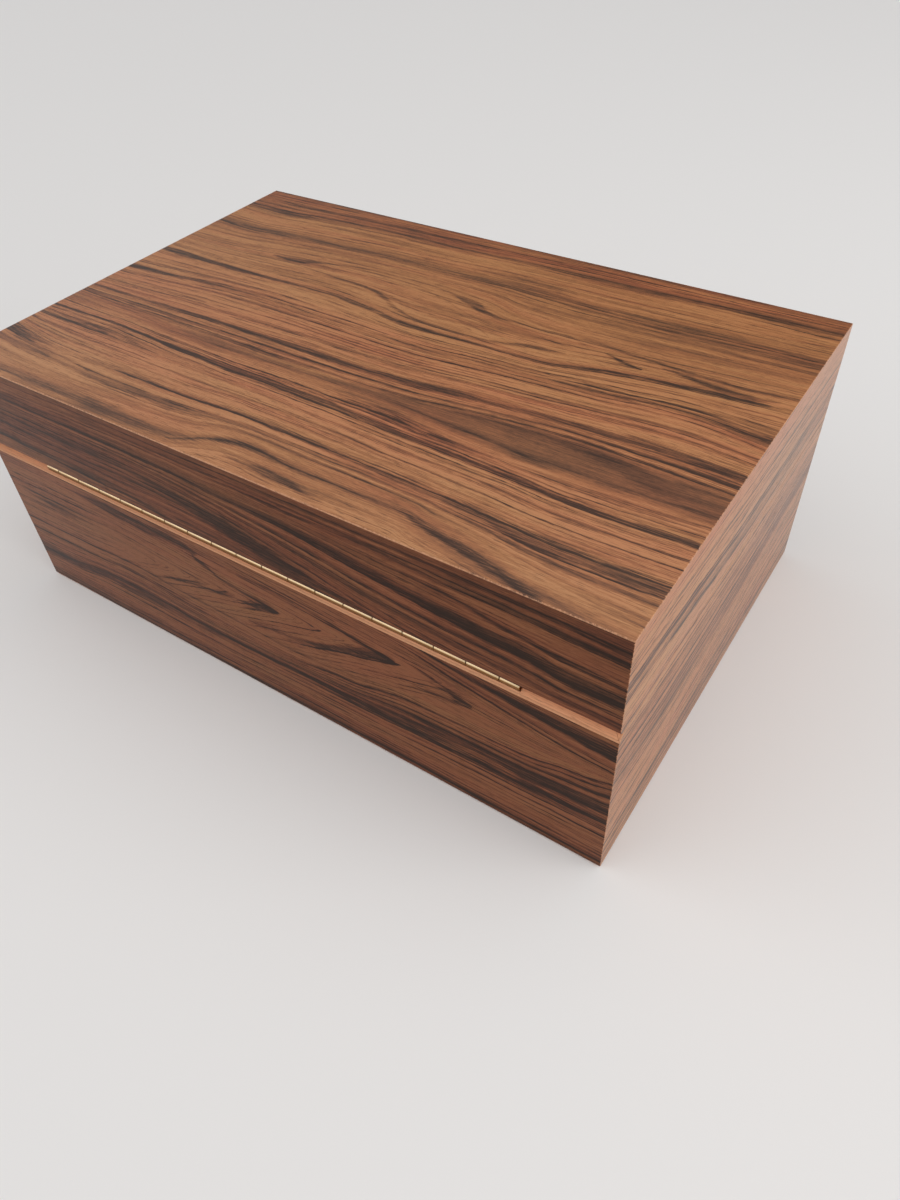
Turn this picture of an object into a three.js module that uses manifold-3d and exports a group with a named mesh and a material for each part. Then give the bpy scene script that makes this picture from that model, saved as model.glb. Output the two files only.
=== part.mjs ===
// A veneered desk humidor for cigars: a long low box whose lid turns on a brass continuous hinge let into
// a bevelled groove along the back. The walls are mitred boards under rosewood veneer, and a loose lining
// of cedar stands proud of the base as a lip that seals the lid. Inside are a lift-out tray with finger
// joints, two sliding dividers, and a hygrometer and a humidifier under the lid.
// Millimetres. X runs along the box, the front is at -Y, the hinge at +Y, and Z = 0 is the table.

import * as THREE from "three";
import { mergeVertices } from "three/addons/utils/BufferGeometryUtils.js";
import Module from "manifold-3d";

const wasm = await Module();
wasm.setup();

// The whole box
const boxLength = 350;
const boxDepth = 230;
const boxHeight = 140;
const seamHeight = 90; // table to the middle of the seam between base and lid
const seamGap = 0.3;
const backBevel = 2.75; // 45 degree bevels on both rims at the back, which stop the open lid

// Boards, skins and the joints between them
const glueLine = 0.1;
const veneerThickness = 0.6;
const wallThickness = 14;
const feltThickness = 1;
const feltInset = 4;
const bottomThickness = 6;
const topThickness = 9;
const rebateWidth = 7; // the step in the walls that the top and bottom panels lie in

// Cedar lining
const liningThickness = 5;
const liningGap = 0.3; // the lining is pushed in dry, so that it can swell
const lipHeight = 6;
const lipBevel = 1.2;
const lipHeadroom = 0.6;

// Continuous hinge
const hingeLength = 268;
const knucklePitch = 14.75;
const fullKnuckles = 17; // whole ones, with a cut one at each end
const knuckleGap = 0.3;
const hingeEndGap = 0.5; // the groove runs on past the barrel
const barrelRadius = 2;
const barrelClearance = 0.3;
const pinRadius = 0.85;
const pinClearance = 0.2;
const leafWidth = 10.5; // pin to the far edge
const leafThickness = 0.9;
const leafSeat = 0.1;
const screwsPerLeaf = 4;
const screwHeadRadius = 2.1;
const screwShankRadius = 1.1;
const screwLength = 9;
const screwClearance = 0.15;
const screwSink = 0.1; // the head lies this far below the leaf's face
const screwSlotWidth = 0.5;
const screwSlotDepth = 0.45;

// Lift-out tray
const trayClearance = 0.8;
const trayHeight = 38;
const trayWall = 6;
const trayFloorThickness = 4;
const trayBelowLip = 2;
const trayFingers = 5;
const fingerNotchRadius = 13;
const fingerNotchAboveRim = 4; // the centre of the finger notch is above the tray's rim
const slotWidth = 5;
const slotMargin = 14;
const slotColumns = 13;
const slotRows = 2;
const cleatWidth = 8;
const cleatHeight = 8;
const restGap = 0.3;

// Dividers
const dividerThickness = 6;
const dividerSideGap = 0.4;
const dividerBelowRim = 3;
const dividerNotchRadius = 12;
const trayDividerFromRight = 114; // from the tray's inner face to the middle of the divider
const baseDividerFromLeft = 115; // from the lining's inner face

// Hygrometer
const hygrometerFromRight = 59; // from the lining's inner face to the middle of the dial
const hygrometerBarrel = 17;
const hygrometerFlange = 21;
const hygrometerBezel = 3;
const hygrometerChamfer = 1;
const hygrometerWall = 1;
const hygrometerLedge = 1;
const hygrometerLip = 0.8;
const dialDepth = 4.7; // from the lining up to the ledge that the dial lies against
const coilSpace = 4;
const dialThickness = 0.6;
const glassThickness = 1.2;
const spindleRadius = 0.5;
const spindleClearance = 0.25;
const needleHub = 1.6;
const needleThickness = 0.5;
const needleBelowDial = 0.7;
const needleReach = 11.5;
const needleTail = 4.5;
const needleReading = 54; // degrees clockwise from the top of the dial, at 70 on a scale of 0 to 100
const coilTurns = 3;
const coilPitch = 2.2;
const coilStrip = 0.4;
const coilHeight = 2.4;
const coilStart = 0.9;

// Humidifier
const humidifierFromLeft = 107;
const humidifierLength = 132;
const humidifierWidth = 46;
const humidifierDepth = 12;
const humidifierWall = 1.6;
const humidifierCorner = 5;
const coverThickness = 2;
const coverSlots = 15;
const coverSlotWidth = 3;
const coverMargin = 9;
const padGap = 0.3;
const magnetLength = 90;
const magnetWidth = 18;
const magnetThickness = 1.5;

// How far a cutting solid runs past what it cuts, and facets to each arc or turn
const overrun = 1;
const barrelFacets = 20;
const notchFacets = 16;
const dialFacets = 36;
const screwFacets = 12;
const cornerFacets = 8;
const coilFacets = 14;

// Levels and planes that several pieces share
const halfLength = boxLength / 2;
const halfDepth = boxDepth / 2;
const baseFoot = feltThickness + glueLine;
const baseRim = seamHeight - seamGap / 2;
const lidRim = seamHeight + seamGap / 2;
const skinTop = boxHeight - veneerThickness - glueLine;
const coreInset = veneerThickness + glueLine;
const coreHalfLength = halfLength - coreInset;
const coreHalfDepth = halfDepth - coreInset;
const innerHalfLength = coreHalfLength - wallThickness;
const innerHalfDepth = coreHalfDepth - wallThickness;
const liningHalfLength = innerHalfLength - liningGap;
const liningHalfDepth = innerHalfDepth - liningGap;
const roomHalfLength = liningHalfLength - liningThickness;
const roomHalfDepth = liningHalfDepth - liningThickness;
const liningFloorLow = baseFoot + bottomThickness + glueLine;
const liningFloorHigh = liningFloorLow + liningThickness;
const lipTop = baseRim + lipHeight;
const topPanelLow = skinTop - topThickness;
const liningTopHigh = topPanelLow - glueLine;
const liningTopLow = liningTopHigh - liningThickness;
const pinY = halfDepth - backBevel;
const pinZ = seamHeight;
const trayTop = lipTop - trayBelowLip;
const trayLow = trayTop - trayHeight;
const trayHalfLength = roomHalfLength - trayClearance;
const trayHalfDepth = roomHalfDepth - trayClearance;
const trayFloorTop = trayLow + trayFloorThickness;
const trayInX = trayHalfLength - trayWall;
const trayInY = trayHalfDepth - trayWall;
const hygrometerPlace = [roomHalfLength - hygrometerFromRight, 0];
const humidifierPlace = [humidifierFromLeft - roomHalfLength, 0];

// Finishes
const finishes = {
  rosewood: { color: 0x7a4e36, roughness: 0.42, metalness: 0 },
  mahogany: { color: 0xc98f66, roughness: 0.7, metalness: 0 },
  cedar: { color: 0xb98a66, roughness: 0.8, metalness: 0 },
  brass: { color: 0xd2ac62, roughness: 0.3, metalness: 1 },
  steel: { color: 0x9a9a9a, roughness: 0.4, metalness: 1 },
  felt: { color: 0x2f2a26, roughness: 1, metalness: 0 },
  plastic: { color: 0x1c1b1a, roughness: 0.5, metalness: 0 },
  foam: { color: 0x3b4a3a, roughness: 1, metalness: 0 },
  dial: { color: 0xf3efe4, roughness: 0.6, metalness: 0 },
  glass: { color: 0xe8f0f2, roughness: 0.05, metalness: 0, transparent: true, opacity: 0.3 },
};

// Solids and their geometries

function solidOf(geometry) {
  const bare = geometry.index ? geometry.toNonIndexed() : geometry.clone();
  bare.deleteAttribute("normal");
  bare.deleteAttribute("uv");
  const merged = mergeVertices(bare);
  return new wasm.Manifold(
    new wasm.Mesh({
      numProp: 3,
      vertProperties: new Float32Array(merged.attributes.position.array),
      triVerts: new Uint32Array(merged.index.array),
    }),
  );
}

function geometryOf(solid) {
  const { vertProperties, triVerts } = solid.getMesh();
  const geometry = new THREE.BufferGeometry();
  geometry.setAttribute("position", new THREE.BufferAttribute(vertProperties, 3));
  geometry.setIndex(new THREE.BufferAttribute(triVerts, 1));
  geometry.computeVertexNormals();
  return geometry;
}

const cut = (solid, ...tools) => tools.reduce((kept, tool) => kept.subtract(tool), solid);
const join = (...solids) => solids.reduce((made, more) => made.add(more));

function block([x0, x1], [y0, y1], [z0, z1]) {
  const geometry = new THREE.BoxGeometry(x1 - x0, y1 - y0, z1 - z0);
  geometry.translate((x0 + x1) / 2, (y0 + y1) / 2, (z0 + z1) / 2);
  return solidOf(geometry);
}

// An arc, whatever its sweep, is drawn with two facets to each curve segment
const extruded = (shape, depth, facets) =>
  new THREE.ExtrudeGeometry(shape, { depth, bevelEnabled: false, curveSegments: facets / 2 });

const outline = (points) => new THREE.Shape(points.map(([a, b]) => new THREE.Vector2(a, b)));

// A flat outline in X and Y, raised from one level to another
function raised(shape, low, high, facets = cornerFacets) {
  const geometry = extruded(shape, high - low, facets);
  geometry.translate(0, 0, low);
  return solidOf(geometry);
}

// An outline in Y and Z, drawn out along X
function alongX(shape, [x0, x1], facets = cornerFacets) {
  const geometry = extruded(shape, x1 - x0, facets);
  const yzx = new THREE.Matrix4().makeBasis(
    new THREE.Vector3(0, 1, 0),
    new THREE.Vector3(0, 0, 1),
    new THREE.Vector3(1, 0, 0),
  );
  geometry.applyMatrix4(yzx).translate(x0, 0, 0);
  return solidOf(geometry);
}

// An outline in X and Z, drawn out along Y
function alongY(shape, [y0, y1], facets = cornerFacets) {
  const geometry = extruded(shape, y1 - y0, facets);
  geometry.rotateX(Math.PI / 2).translate(0, y1, 0);
  return solidOf(geometry);
}

// A profile of radius and height, turned about a vertical axis
function turned(profile, [x, y], z, facets) {
  const points = profile.map(([radius, height]) => new THREE.Vector2(radius, height));
  const geometry = new THREE.LatheGeometry(points, facets);
  geometry.rotateX(Math.PI / 2).translate(x, y, z);
  const solid = solidOf(geometry);
  if (solid.volume() < 0) throw new Error("a turned profile runs the wrong way round");
  return solid;
}

function disc(y, z, radius) {
  const shape = new THREE.Shape();
  shape.absarc(y, z, radius, 0, 2 * Math.PI);
  return shape;
}

// Four boards mitred at the corners, each end short of the mitre by a glue line
function mitredFrame(outX, outY, thickness, low, high) {
  const inX = outX - thickness;
  const inY = outY - thickness;
  const lying = (side) => {
    const corners = [
      [-outX + glueLine, side * outY],
      [outX - glueLine, side * outY],
      [inX - glueLine, side * inY],
      [-inX + glueLine, side * inY],
    ];
    return raised(outline(side < 0 ? corners : corners.reverse()), low, high);
  };
  const standing = (side) => {
    const corners = [
      [side * outX, -outY + glueLine],
      [side * outX, outY - glueLine],
      [side * inX, inY - glueLine],
      [side * inX, -inY + glueLine],
    ];
    return raised(outline(side > 0 ? corners : corners.reverse()), low, high);
  };
  return { front: lying(-1), back: lying(1), left: standing(-1), right: standing(1) };
}

const eachSide = (frame, change) =>
  Object.fromEntries(Object.entries(frame).map(([side, board]) => [side, change(board, side)]));

// The bevel along a back rim: way is 1 for the base, which is cut from above, and -1 for the lid
function backBevelCutter(rim, way) {
  const shape = outline([
    [halfDepth - backBevel - overrun, rim + way * overrun],
    [halfDepth + overrun, rim - way * (backBevel + overrun)],
    [halfDepth + overrun, rim + way * overrun],
  ]);
  return alongX(shape, [-halfLength - overrun, halfLength + overrun]);
}

// Continuous hinge: what it takes out of the rims, its leaves, its pin and its screws

const hingeHalf = hingeLength / 2;
const screwSpacing = knucklePitch * Math.floor((fullKnuckles + 1) / screwsPerLeaf + 1);
const screwPlaces = Array.from(
  { length: screwsPerLeaf },
  (_, i) => (i - (screwsPerLeaf - 1) / 2) * screwSpacing,
);
const notchLine = barrelRadius + barrelClearance; // pin to the leaf's edge beside the other leaf's knuckles
const screwY = pinY - (notchLine + leafWidth) / 2;

function screw(x, way, grow = 0) {
  const face = -seamGap / 2 - (grow > 0 ? 0 : screwSink);
  const neck = screwHeadRadius - screwShankRadius;
  const top = grow > 0 ? face + overrun : face;
  const profile = [
    [0, face - screwLength - grow],
    [screwShankRadius / 3 + grow, face - screwLength - grow],
    [screwShankRadius + grow, face - screwLength + screwShankRadius * 2],
    [screwShankRadius + grow, face - neck - screwSink],
    [screwHeadRadius + grow, face - screwSink],
    [screwHeadRadius + grow, top],
    [0, top],
  ];
  let solid = turned(profile, [0, 0], 0, screwFacets);
  if (grow === 0) {
    const slot = block(
      [-screwHeadRadius - overrun, screwHeadRadius + overrun],
      [-screwSlotWidth / 2, screwSlotWidth / 2],
      [face - screwSlotDepth, face + overrun],
    );
    solid = solid.subtract(slot);
  }
  return solid.rotate([way > 0 ? 0 : 180, 0, 0]).translate([x, screwY, pinZ]);
}

function hingeRecess(way) {
  const rim = pinZ - (way * seamGap) / 2;
  const floor = rim - way * (leafThickness + leafSeat);
  const seat = block(
    [-hingeHalf - hingeEndGap, hingeHalf + hingeEndGap],
    [pinY - leafWidth - barrelClearance, pinY],
    way > 0 ? [floor, rim + overrun] : [rim - overrun, floor],
  );
  const groove = alongX(
    disc(pinY, pinZ, barrelRadius + barrelClearance),
    [-hingeHalf - hingeEndGap, hingeHalf + hingeEndGap],
    barrelFacets,
  );
  return join(seat, groove, ...screwPlaces.map((x) => screw(x, way, screwClearance)));
}

// Knuckle ends along X, from the cut one at one end to the cut one at the other
const firstSeam = (-knucklePitch * fullKnuckles) / 2;
const knuckleEnds = [
  -hingeHalf,
  ...Array.from({ length: fullKnuckles + 1 }, (_, i) => firstSeam + i * knucklePitch),
  hingeHalf,
];

// One leaf with every second knuckle: way is 1 for the base's leaf and -1 for the lid's
function hingeLeaf(way) {
  const near = pinZ - (way * seamGap) / 2;
  const far = near - way * leafThickness;
  const levels = [Math.min(near, far), Math.max(near, far)];
  const plate = block([-hingeHalf, hingeHalf], [pinY - leafWidth, pinY - notchLine], levels);
  const tongueEnd = (barrelRadius + pinRadius + pinClearance) / 2; // inside the knuckle's wall
  const knuckle = disc(pinY, pinZ, barrelRadius);
  knuckle.holes.push(disc(pinY, pinZ, pinRadius + pinClearance));
  const pieces = [plate];
  for (let i = way > 0 ? 0 : 1; i < knuckleEnds.length - 1; i += 2) {
    const from = knuckleEnds[i] + (i === 0 ? 0 : knuckleGap / 2);
    const to = knuckleEnds[i + 1] - (i === knuckleEnds.length - 2 ? 0 : knuckleGap / 2);
    pieces.push(alongX(knuckle, [from, to], barrelFacets));
    pieces.push(block([from, to], [pinY - notchLine - overrun, pinY - tongueEnd], levels));
  }
  return cut(join(...pieces), ...screwPlaces.map((x) => screw(x, way, screwClearance)));
}

// Tray boards: an outline with fingers at both ends, and a notch for a finger in the short ones

function fingeredOutline(half, fingersOut, notched) {
  const step = trayHeight / trayFingers;
  const shape = new THREE.Shape();
  const reach = (i) => (i % 2 === fingersOut ? half : half - trayWall - glueLine);
  const low = (i) => trayLow + i * step + (i > 0 && i % 2 === fingersOut ? glueLine : 0);
  const high = (i) => trayLow + (i + 1) * step - (i < trayFingers - 1 && i % 2 === fingersOut ? glueLine : 0);
  const ends = Array.from({ length: trayFingers }, (_, i) => [
    [reach(i), i === 0 || i % 2 === fingersOut ? low(i) : high(i - 1)],
    [reach(i), i === trayFingers - 1 || i % 2 === fingersOut ? high(i) : low(i + 1)],
  ]).flat();
  ends.forEach(([x, z], i) => (i === 0 ? shape.moveTo(x, z) : shape.lineTo(x, z)));
  if (notched) {
    const sweep = Math.asin(fingerNotchAboveRim / fingerNotchRadius);
    shape.absarc(0, trayTop + fingerNotchAboveRim, fingerNotchRadius, -sweep, -Math.PI + sweep, true);
  }
  ends.reverse().forEach(([x, z]) => shape.lineTo(-x, z));
  return shape;
}

function trayFloor() {
  const halfX = trayInX - glueLine;
  const halfY = trayInY - glueLine;
  const shape = outline([
    [-halfX, -halfY],
    [halfX, -halfY],
    [halfX, halfY],
    [-halfX, halfY],
  ]);
  const stepX = (2 * (halfX - slotMargin)) / (slotColumns - 1);
  const rowDepth = (2 * halfY - slotMargin * (slotRows + 1)) / slotRows;
  const radius = slotWidth / 2;
  for (let row = 0; row < slotRows; row++) {
    const low = -halfY + slotMargin + row * (rowDepth + slotMargin) + radius;
    const high = low + rowDepth - slotWidth;
    for (let column = 0; column < slotColumns; column++) {
      const x = -halfX + slotMargin + column * stepX;
      const slot = new THREE.Path();
      slot.absarc(x, high, radius, 0, Math.PI);
      slot.absarc(x, low, radius, Math.PI, 2 * Math.PI);
      slot.closePath();
      shape.holes.push(slot);
    }
  }
  return raised(shape, trayLow, trayFloorTop);
}

// A divider: a board across the box with a round notch in its top edge
function divider(x, halfWidth, low, high) {
  const shape = new THREE.Shape();
  shape.moveTo(-halfWidth, low);
  shape.lineTo(halfWidth, low);
  shape.lineTo(halfWidth, high);
  shape.absarc(0, high, dividerNotchRadius, 0, -Math.PI, true);
  shape.lineTo(-halfWidth, high);
  return alongX(shape, [x - dividerThickness / 2, x + dividerThickness / 2], notchFacets);
}

// Hygrometer: levels count up from the underside of the lid's lining

const cavityRadius = hygrometerBarrel - hygrometerWall;
const glassOpening = cavityRadius - hygrometerLip;
const ledgeRadius = cavityRadius - hygrometerLedge;
const caseTop = dialDepth + coilSpace + hygrometerWall;
const bezelLow = -restGap - hygrometerBezel;
const cavityLow = bezelLow + hygrometerLip;
const needleHigh = dialDepth - dialThickness - glueLine - needleBelowDial;

function hygrometerCase() {
  const profile = [
    [0, dialDepth + coilSpace],
    [ledgeRadius, dialDepth + coilSpace],
    [ledgeRadius, dialDepth],
    [cavityRadius, dialDepth],
    [cavityRadius, cavityLow],
    [glassOpening, cavityLow],
    [glassOpening, bezelLow],
    [hygrometerFlange - hygrometerChamfer, bezelLow],
    [hygrometerFlange, bezelLow + hygrometerChamfer],
    [hygrometerFlange, -restGap],
    [hygrometerBarrel, -restGap],
    [hygrometerBarrel, caseTop],
    [0, caseTop],
  ];
  return turned(profile, hygrometerPlace, liningTopLow, dialFacets);
}

function hygrometerDial() {
  const low = dialDepth - glueLine - dialThickness;
  const high = dialDepth - glueLine;
  const hole = spindleRadius + spindleClearance;
  const edge = cavityRadius - glueLine;
  const profile = [
    [hole, low],
    [edge, low],
    [edge, high],
    [hole, high],
    [hole, low],
  ];
  return turned(profile, hygrometerPlace, liningTopLow, dialFacets);
}

function hygrometerGlass() {
  const low = cavityLow + glueLine;
  const edge = cavityRadius - glueLine;
  const profile = [
    [0, low],
    [edge, low],
    [edge, low + glassThickness],
    [0, low + glassThickness],
  ];
  return turned(profile, hygrometerPlace, liningTopLow, dialFacets);
}

// The pointer on its hub and spindle, which runs up through the dial to the coil
function hygrometerNeedle() {
  const hub = new THREE.Shape();
  hub.absarc(0, 0, needleHub, 0, 2 * Math.PI);
  const tipWidth = needleThickness / 2;
  const pointer = outline([
    [-needleHub / 3, needleTail],
    [-tipWidth / 2, -needleReach],
    [tipWidth / 2, -needleReach],
    [needleHub / 3, needleTail],
  ]);
  const low = needleHigh - needleThickness;
  const spindle = turned(
    [
      [0, low],
      [spindleRadius, low],
      [spindleRadius, dialDepth + coilSpace - restGap],
      [0, dialDepth + coilSpace - restGap],
    ],
    [0, 0],
    0,
    screwFacets,
  );
  const flat = join(raised(hub, low, needleHigh), raised(pointer, low, needleHigh), spindle);
  const [x, y] = hygrometerPlace;
  return flat.rotate([0, 0, needleReading]).translate([x, y, liningTopLow]);
}

// A flat spiral strip round the spindle, which winds and unwinds as the air grows damp or dry
function hygrometerCoil() {
  const steps = coilTurns * coilFacets;
  const at = (i, side) => {
    const angle = (i / coilFacets) * 2 * Math.PI;
    const radius = coilStart + (i / coilFacets) * coilPitch + side * coilStrip;
    return [radius * Math.cos(angle), radius * Math.sin(angle)];
  };
  const inner = Array.from({ length: steps + 1 }, (_, i) => at(i, 0));
  const outer = Array.from({ length: steps + 1 }, (_, i) => at(i, 1)).reverse();
  const low = dialDepth + (coilSpace - coilHeight) / 2;
  const [x, y] = hygrometerPlace;
  const strip = raised(outline([...outer, ...inner]), low, low + coilHeight);
  return strip.translate([x, y, liningTopLow]);
}

// Humidifier: a case that opens downwards, its pad, its slotted cover and the magnet that holds it

const caseHigh = liningTopLow - glueLine - magnetThickness - glueLine;
const caseLow = caseHigh - humidifierDepth;

function roundedOutline(length, width, corner) {
  const x = length / 2;
  const y = width / 2;
  const [cx, cy] = humidifierPlace;
  const shape = new THREE.Shape();
  shape.absarc(cx + x - corner, cy - y + corner, corner, -Math.PI / 2, 0);
  shape.absarc(cx + x - corner, cy + y - corner, corner, 0, Math.PI / 2);
  shape.absarc(cx - x + corner, cy + y - corner, corner, Math.PI / 2, Math.PI);
  shape.absarc(cx - x + corner, cy - y + corner, corner, Math.PI, (3 * Math.PI) / 2);
  shape.closePath();
  return shape;
}

function humidifierCase() {
  const outside = raised(roundedOutline(humidifierLength, humidifierWidth, humidifierCorner), caseLow, caseHigh);
  const inside = roundedOutline(
    humidifierLength - 2 * humidifierWall,
    humidifierWidth - 2 * humidifierWall,
    humidifierCorner - humidifierWall,
  );
  return outside.subtract(raised(inside, caseLow - overrun, caseHigh - humidifierWall));
}

function humidifierPad() {
  const shrink = 2 * (humidifierWall + padGap);
  const shape = roundedOutline(
    humidifierLength - shrink,
    humidifierWidth - shrink,
    humidifierCorner - humidifierWall - padGap,
  );
  return raised(shape, caseLow + padGap, caseHigh - humidifierWall - padGap);
}

function humidifierCover() {
  const shape = roundedOutline(humidifierLength, humidifierWidth, humidifierCorner);
  const [cx, cy] = humidifierPlace;
  const step = (humidifierLength - 2 * coverMargin) / (coverSlots - 1);
  const reach = humidifierWidth / 2 - coverMargin;
  for (let i = 0; i < coverSlots; i++) {
    const x = cx - humidifierLength / 2 + coverMargin + i * step;
    const slot = new THREE.Path();
    slot.absarc(x, cy + reach, coverSlotWidth / 2, 0, Math.PI);
    slot.absarc(x, cy - reach, coverSlotWidth / 2, Math.PI, 2 * Math.PI);
    slot.closePath();
    shape.holes.push(slot);
  }
  const high = caseLow - glueLine;
  return raised(shape, high - coverThickness, high);
}

function humidifierMagnet() {
  const [cx, cy] = humidifierPlace;
  const high = liningTopLow - glueLine;
  return block(
    [cx - magnetLength / 2, cx + magnetLength / 2],
    [cy - magnetWidth / 2, cy + magnetWidth / 2],
    [high - magnetThickness, high],
  );
}

// Putting the humidor together

const humidor = new THREE.Group();

function add(name, solid, finish) {
  const mesh = new THREE.Mesh(geometryOf(solid), new THREE.MeshStandardMaterial(finishes[finish]));
  mesh.name = name;
  humidor.add(mesh);
}

function addFrame(name, frame, finish) {
  for (const [side, board] of Object.entries(frame)) add(name.replace("SIDE", side), board, finish);
}

// Base: mitred walls with a bottom let into them, veneer outside and felt below
const baseBevel = backBevelCutter(baseRim, 1);
const baseRecess = hingeRecess(1);
const bottomHalfX = coreHalfLength - rebateWidth;
const bottomHalfY = coreHalfDepth - rebateWidth;
const bottomSeat = block(
  [-bottomHalfX, bottomHalfX],
  [-bottomHalfY, bottomHalfY],
  [baseFoot - overrun, baseFoot + bottomThickness + glueLine],
);
const baseWalls = mitredFrame(coreHalfLength, coreHalfDepth, wallThickness, baseFoot, baseRim);
addFrame("base_SIDE_wall", eachSide(baseWalls, (wall) => cut(wall, bottomSeat, baseBevel, baseRecess)), "mahogany");
const baseSkins = mitredFrame(halfLength, halfDepth, veneerThickness, baseFoot, baseRim);
addFrame("base_SIDE_veneer", eachSide(baseSkins, (skin) => cut(skin, baseBevel, baseRecess)), "rosewood");
add(
  "base_bottom_panel",
  block(
    [-bottomHalfX + glueLine, bottomHalfX - glueLine],
    [-bottomHalfY + glueLine, bottomHalfY - glueLine],
    [baseFoot, baseFoot + bottomThickness],
  ),
  "mahogany",
);
add(
  "base_felt",
  block(
    [-halfLength + feltInset, halfLength - feltInset],
    [-halfDepth + feltInset, halfDepth - feltInset],
    [0, feltThickness],
  ),
  "felt",
);

// Lining of the base, whose top edge is the lip
const lipSlopes = [
  alongX(
    outline([
      [liningHalfDepth - lipBevel - overrun, lipTop + overrun],
      [liningHalfDepth + overrun, lipTop - lipBevel - overrun],
      [liningHalfDepth + overrun, lipTop + overrun],
    ]),
    [-liningHalfLength - overrun, liningHalfLength + overrun],
  ),
  alongY(
    outline([
      [liningHalfLength - lipBevel - overrun, lipTop + overrun],
      [liningHalfLength + overrun, lipTop - lipBevel - overrun],
      [liningHalfLength + overrun, lipTop + overrun],
    ]),
    [-liningHalfDepth - overrun, liningHalfDepth + overrun],
  ),
];
const lipCutters = [...lipSlopes, ...lipSlopes.map((slope) => slope.rotate([0, 0, 180]))];
const baseLining = mitredFrame(liningHalfLength, liningHalfDepth, liningThickness, liningFloorHigh + glueLine, lipTop);
addFrame("base_lining_SIDE", eachSide(baseLining, (board) => cut(board, ...lipCutters)), "cedar");
add(
  "base_lining_floor",
  block(
    [-liningHalfLength, liningHalfLength],
    [-liningHalfDepth, liningHalfDepth],
    [liningFloorLow, liningFloorHigh],
  ),
  "cedar",
);

// Cleats that carry the tray, and the tray itself
const cleatTop = trayLow - restGap;
for (const [side, way] of [
  ["left", -1],
  ["right", 1],
]) {
  const outer = way * (roomHalfLength - glueLine);
  const inner = way * (roomHalfLength - glueLine - cleatWidth);
  add(
    "tray_cleat_" + side,
    block(
      [Math.min(outer, inner), Math.max(outer, inner)],
      [-roomHalfDepth + trayClearance, roomHalfDepth - trayClearance],
      [cleatTop - cleatHeight, cleatTop],
    ),
    "cedar",
  );
}
const longBoard = fingeredOutline(trayHalfLength, 0, false);
add("tray_front", alongY(longBoard, [-trayHalfDepth, -trayInY]), "cedar");
add("tray_back", alongY(longBoard, [trayInY, trayHalfDepth]), "cedar");
const shortBoard = fingeredOutline(trayHalfDepth, 1, true);
add("tray_left", alongX(shortBoard, [-trayHalfLength, -trayInX], notchFacets), "cedar");
add("tray_right", alongX(shortBoard, [trayInX, trayHalfLength], notchFacets), "cedar");
add("tray_floor", trayFloor(), "cedar");
add(
  "tray_divider",
  divider(trayInX - trayDividerFromRight, trayInY - dividerSideGap, trayFloorTop + restGap, trayTop - dividerBelowRim),
  "cedar",
);
add(
  "base_divider",
  divider(
    baseDividerFromLeft - roomHalfLength,
    roomHalfDepth - dividerSideGap,
    liningFloorHigh + restGap,
    trayLow - dividerBelowRim,
  ),
  "cedar",
);

// Lid: mitred walls with a top let into them, and veneer over all
const lidBevel = backBevelCutter(lidRim, -1);
const lidRecess = hingeRecess(-1);
const topSeat = block(
  [-bottomHalfX, bottomHalfX],
  [-bottomHalfY, bottomHalfY],
  [topPanelLow - glueLine, skinTop + overrun],
);
const lidWalls = mitredFrame(coreHalfLength, coreHalfDepth, wallThickness, lidRim, skinTop);
addFrame("lid_SIDE_wall", eachSide(lidWalls, (wall) => cut(wall, topSeat, lidBevel, lidRecess)), "mahogany");
const lidSkins = mitredFrame(halfLength, halfDepth, veneerThickness, lidRim, skinTop);
addFrame("lid_SIDE_veneer", eachSide(lidSkins, (skin) => cut(skin, lidBevel, lidRecess)), "rosewood");
add(
  "lid_top_veneer",
  block([-halfLength, halfLength], [-halfDepth, halfDepth], [boxHeight - veneerThickness, boxHeight]),
  "rosewood",
);

// The hygrometer's barrel passes through the lining into a pocket in the top panel
const [dialX, dialY] = hygrometerPlace;
const pocketShape = new THREE.Shape();
pocketShape.absarc(dialX, dialY, hygrometerBarrel + restGap, 0, 2 * Math.PI);
const pocket = raised(pocketShape, liningTopLow - overrun, liningTopLow + caseTop + restGap, dialFacets);
const topPanel = block(
  [-bottomHalfX + glueLine, bottomHalfX - glueLine],
  [-bottomHalfY + glueLine, bottomHalfY - glueLine],
  [topPanelLow, skinTop],
);
add("lid_top_panel", cut(topPanel, pocket), "mahogany");

// Lining of the lid, which stops short of the lip
const liningTop = block(
  [-liningHalfLength, liningHalfLength],
  [-liningHalfDepth, liningHalfDepth],
  [liningTopLow, liningTopHigh],
);
add("lid_lining_top", cut(liningTop, pocket), "cedar");
const lidLiningLow = lipTop + lipHeadroom;
const lidLining = mitredFrame(
  liningHalfLength,
  liningHalfDepth,
  liningThickness,
  lidLiningLow,
  liningTopLow - glueLine,
);
addFrame("lid_lining_SIDE", lidLining, "cedar");

// Hinge
add("hinge_base_leaf", hingeLeaf(1), "brass");
add("hinge_lid_leaf", hingeLeaf(-1), "brass");
add("hinge_pin", alongX(disc(pinY, pinZ, pinRadius), [-hingeHalf, hingeHalf], barrelFacets), "brass");
screwPlaces.forEach((x, i) => {
  add("hinge_base_screw_" + (i + 1), screw(x, 1), "brass");
  add("hinge_lid_screw_" + (i + 1), screw(x, -1), "brass");
});

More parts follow.
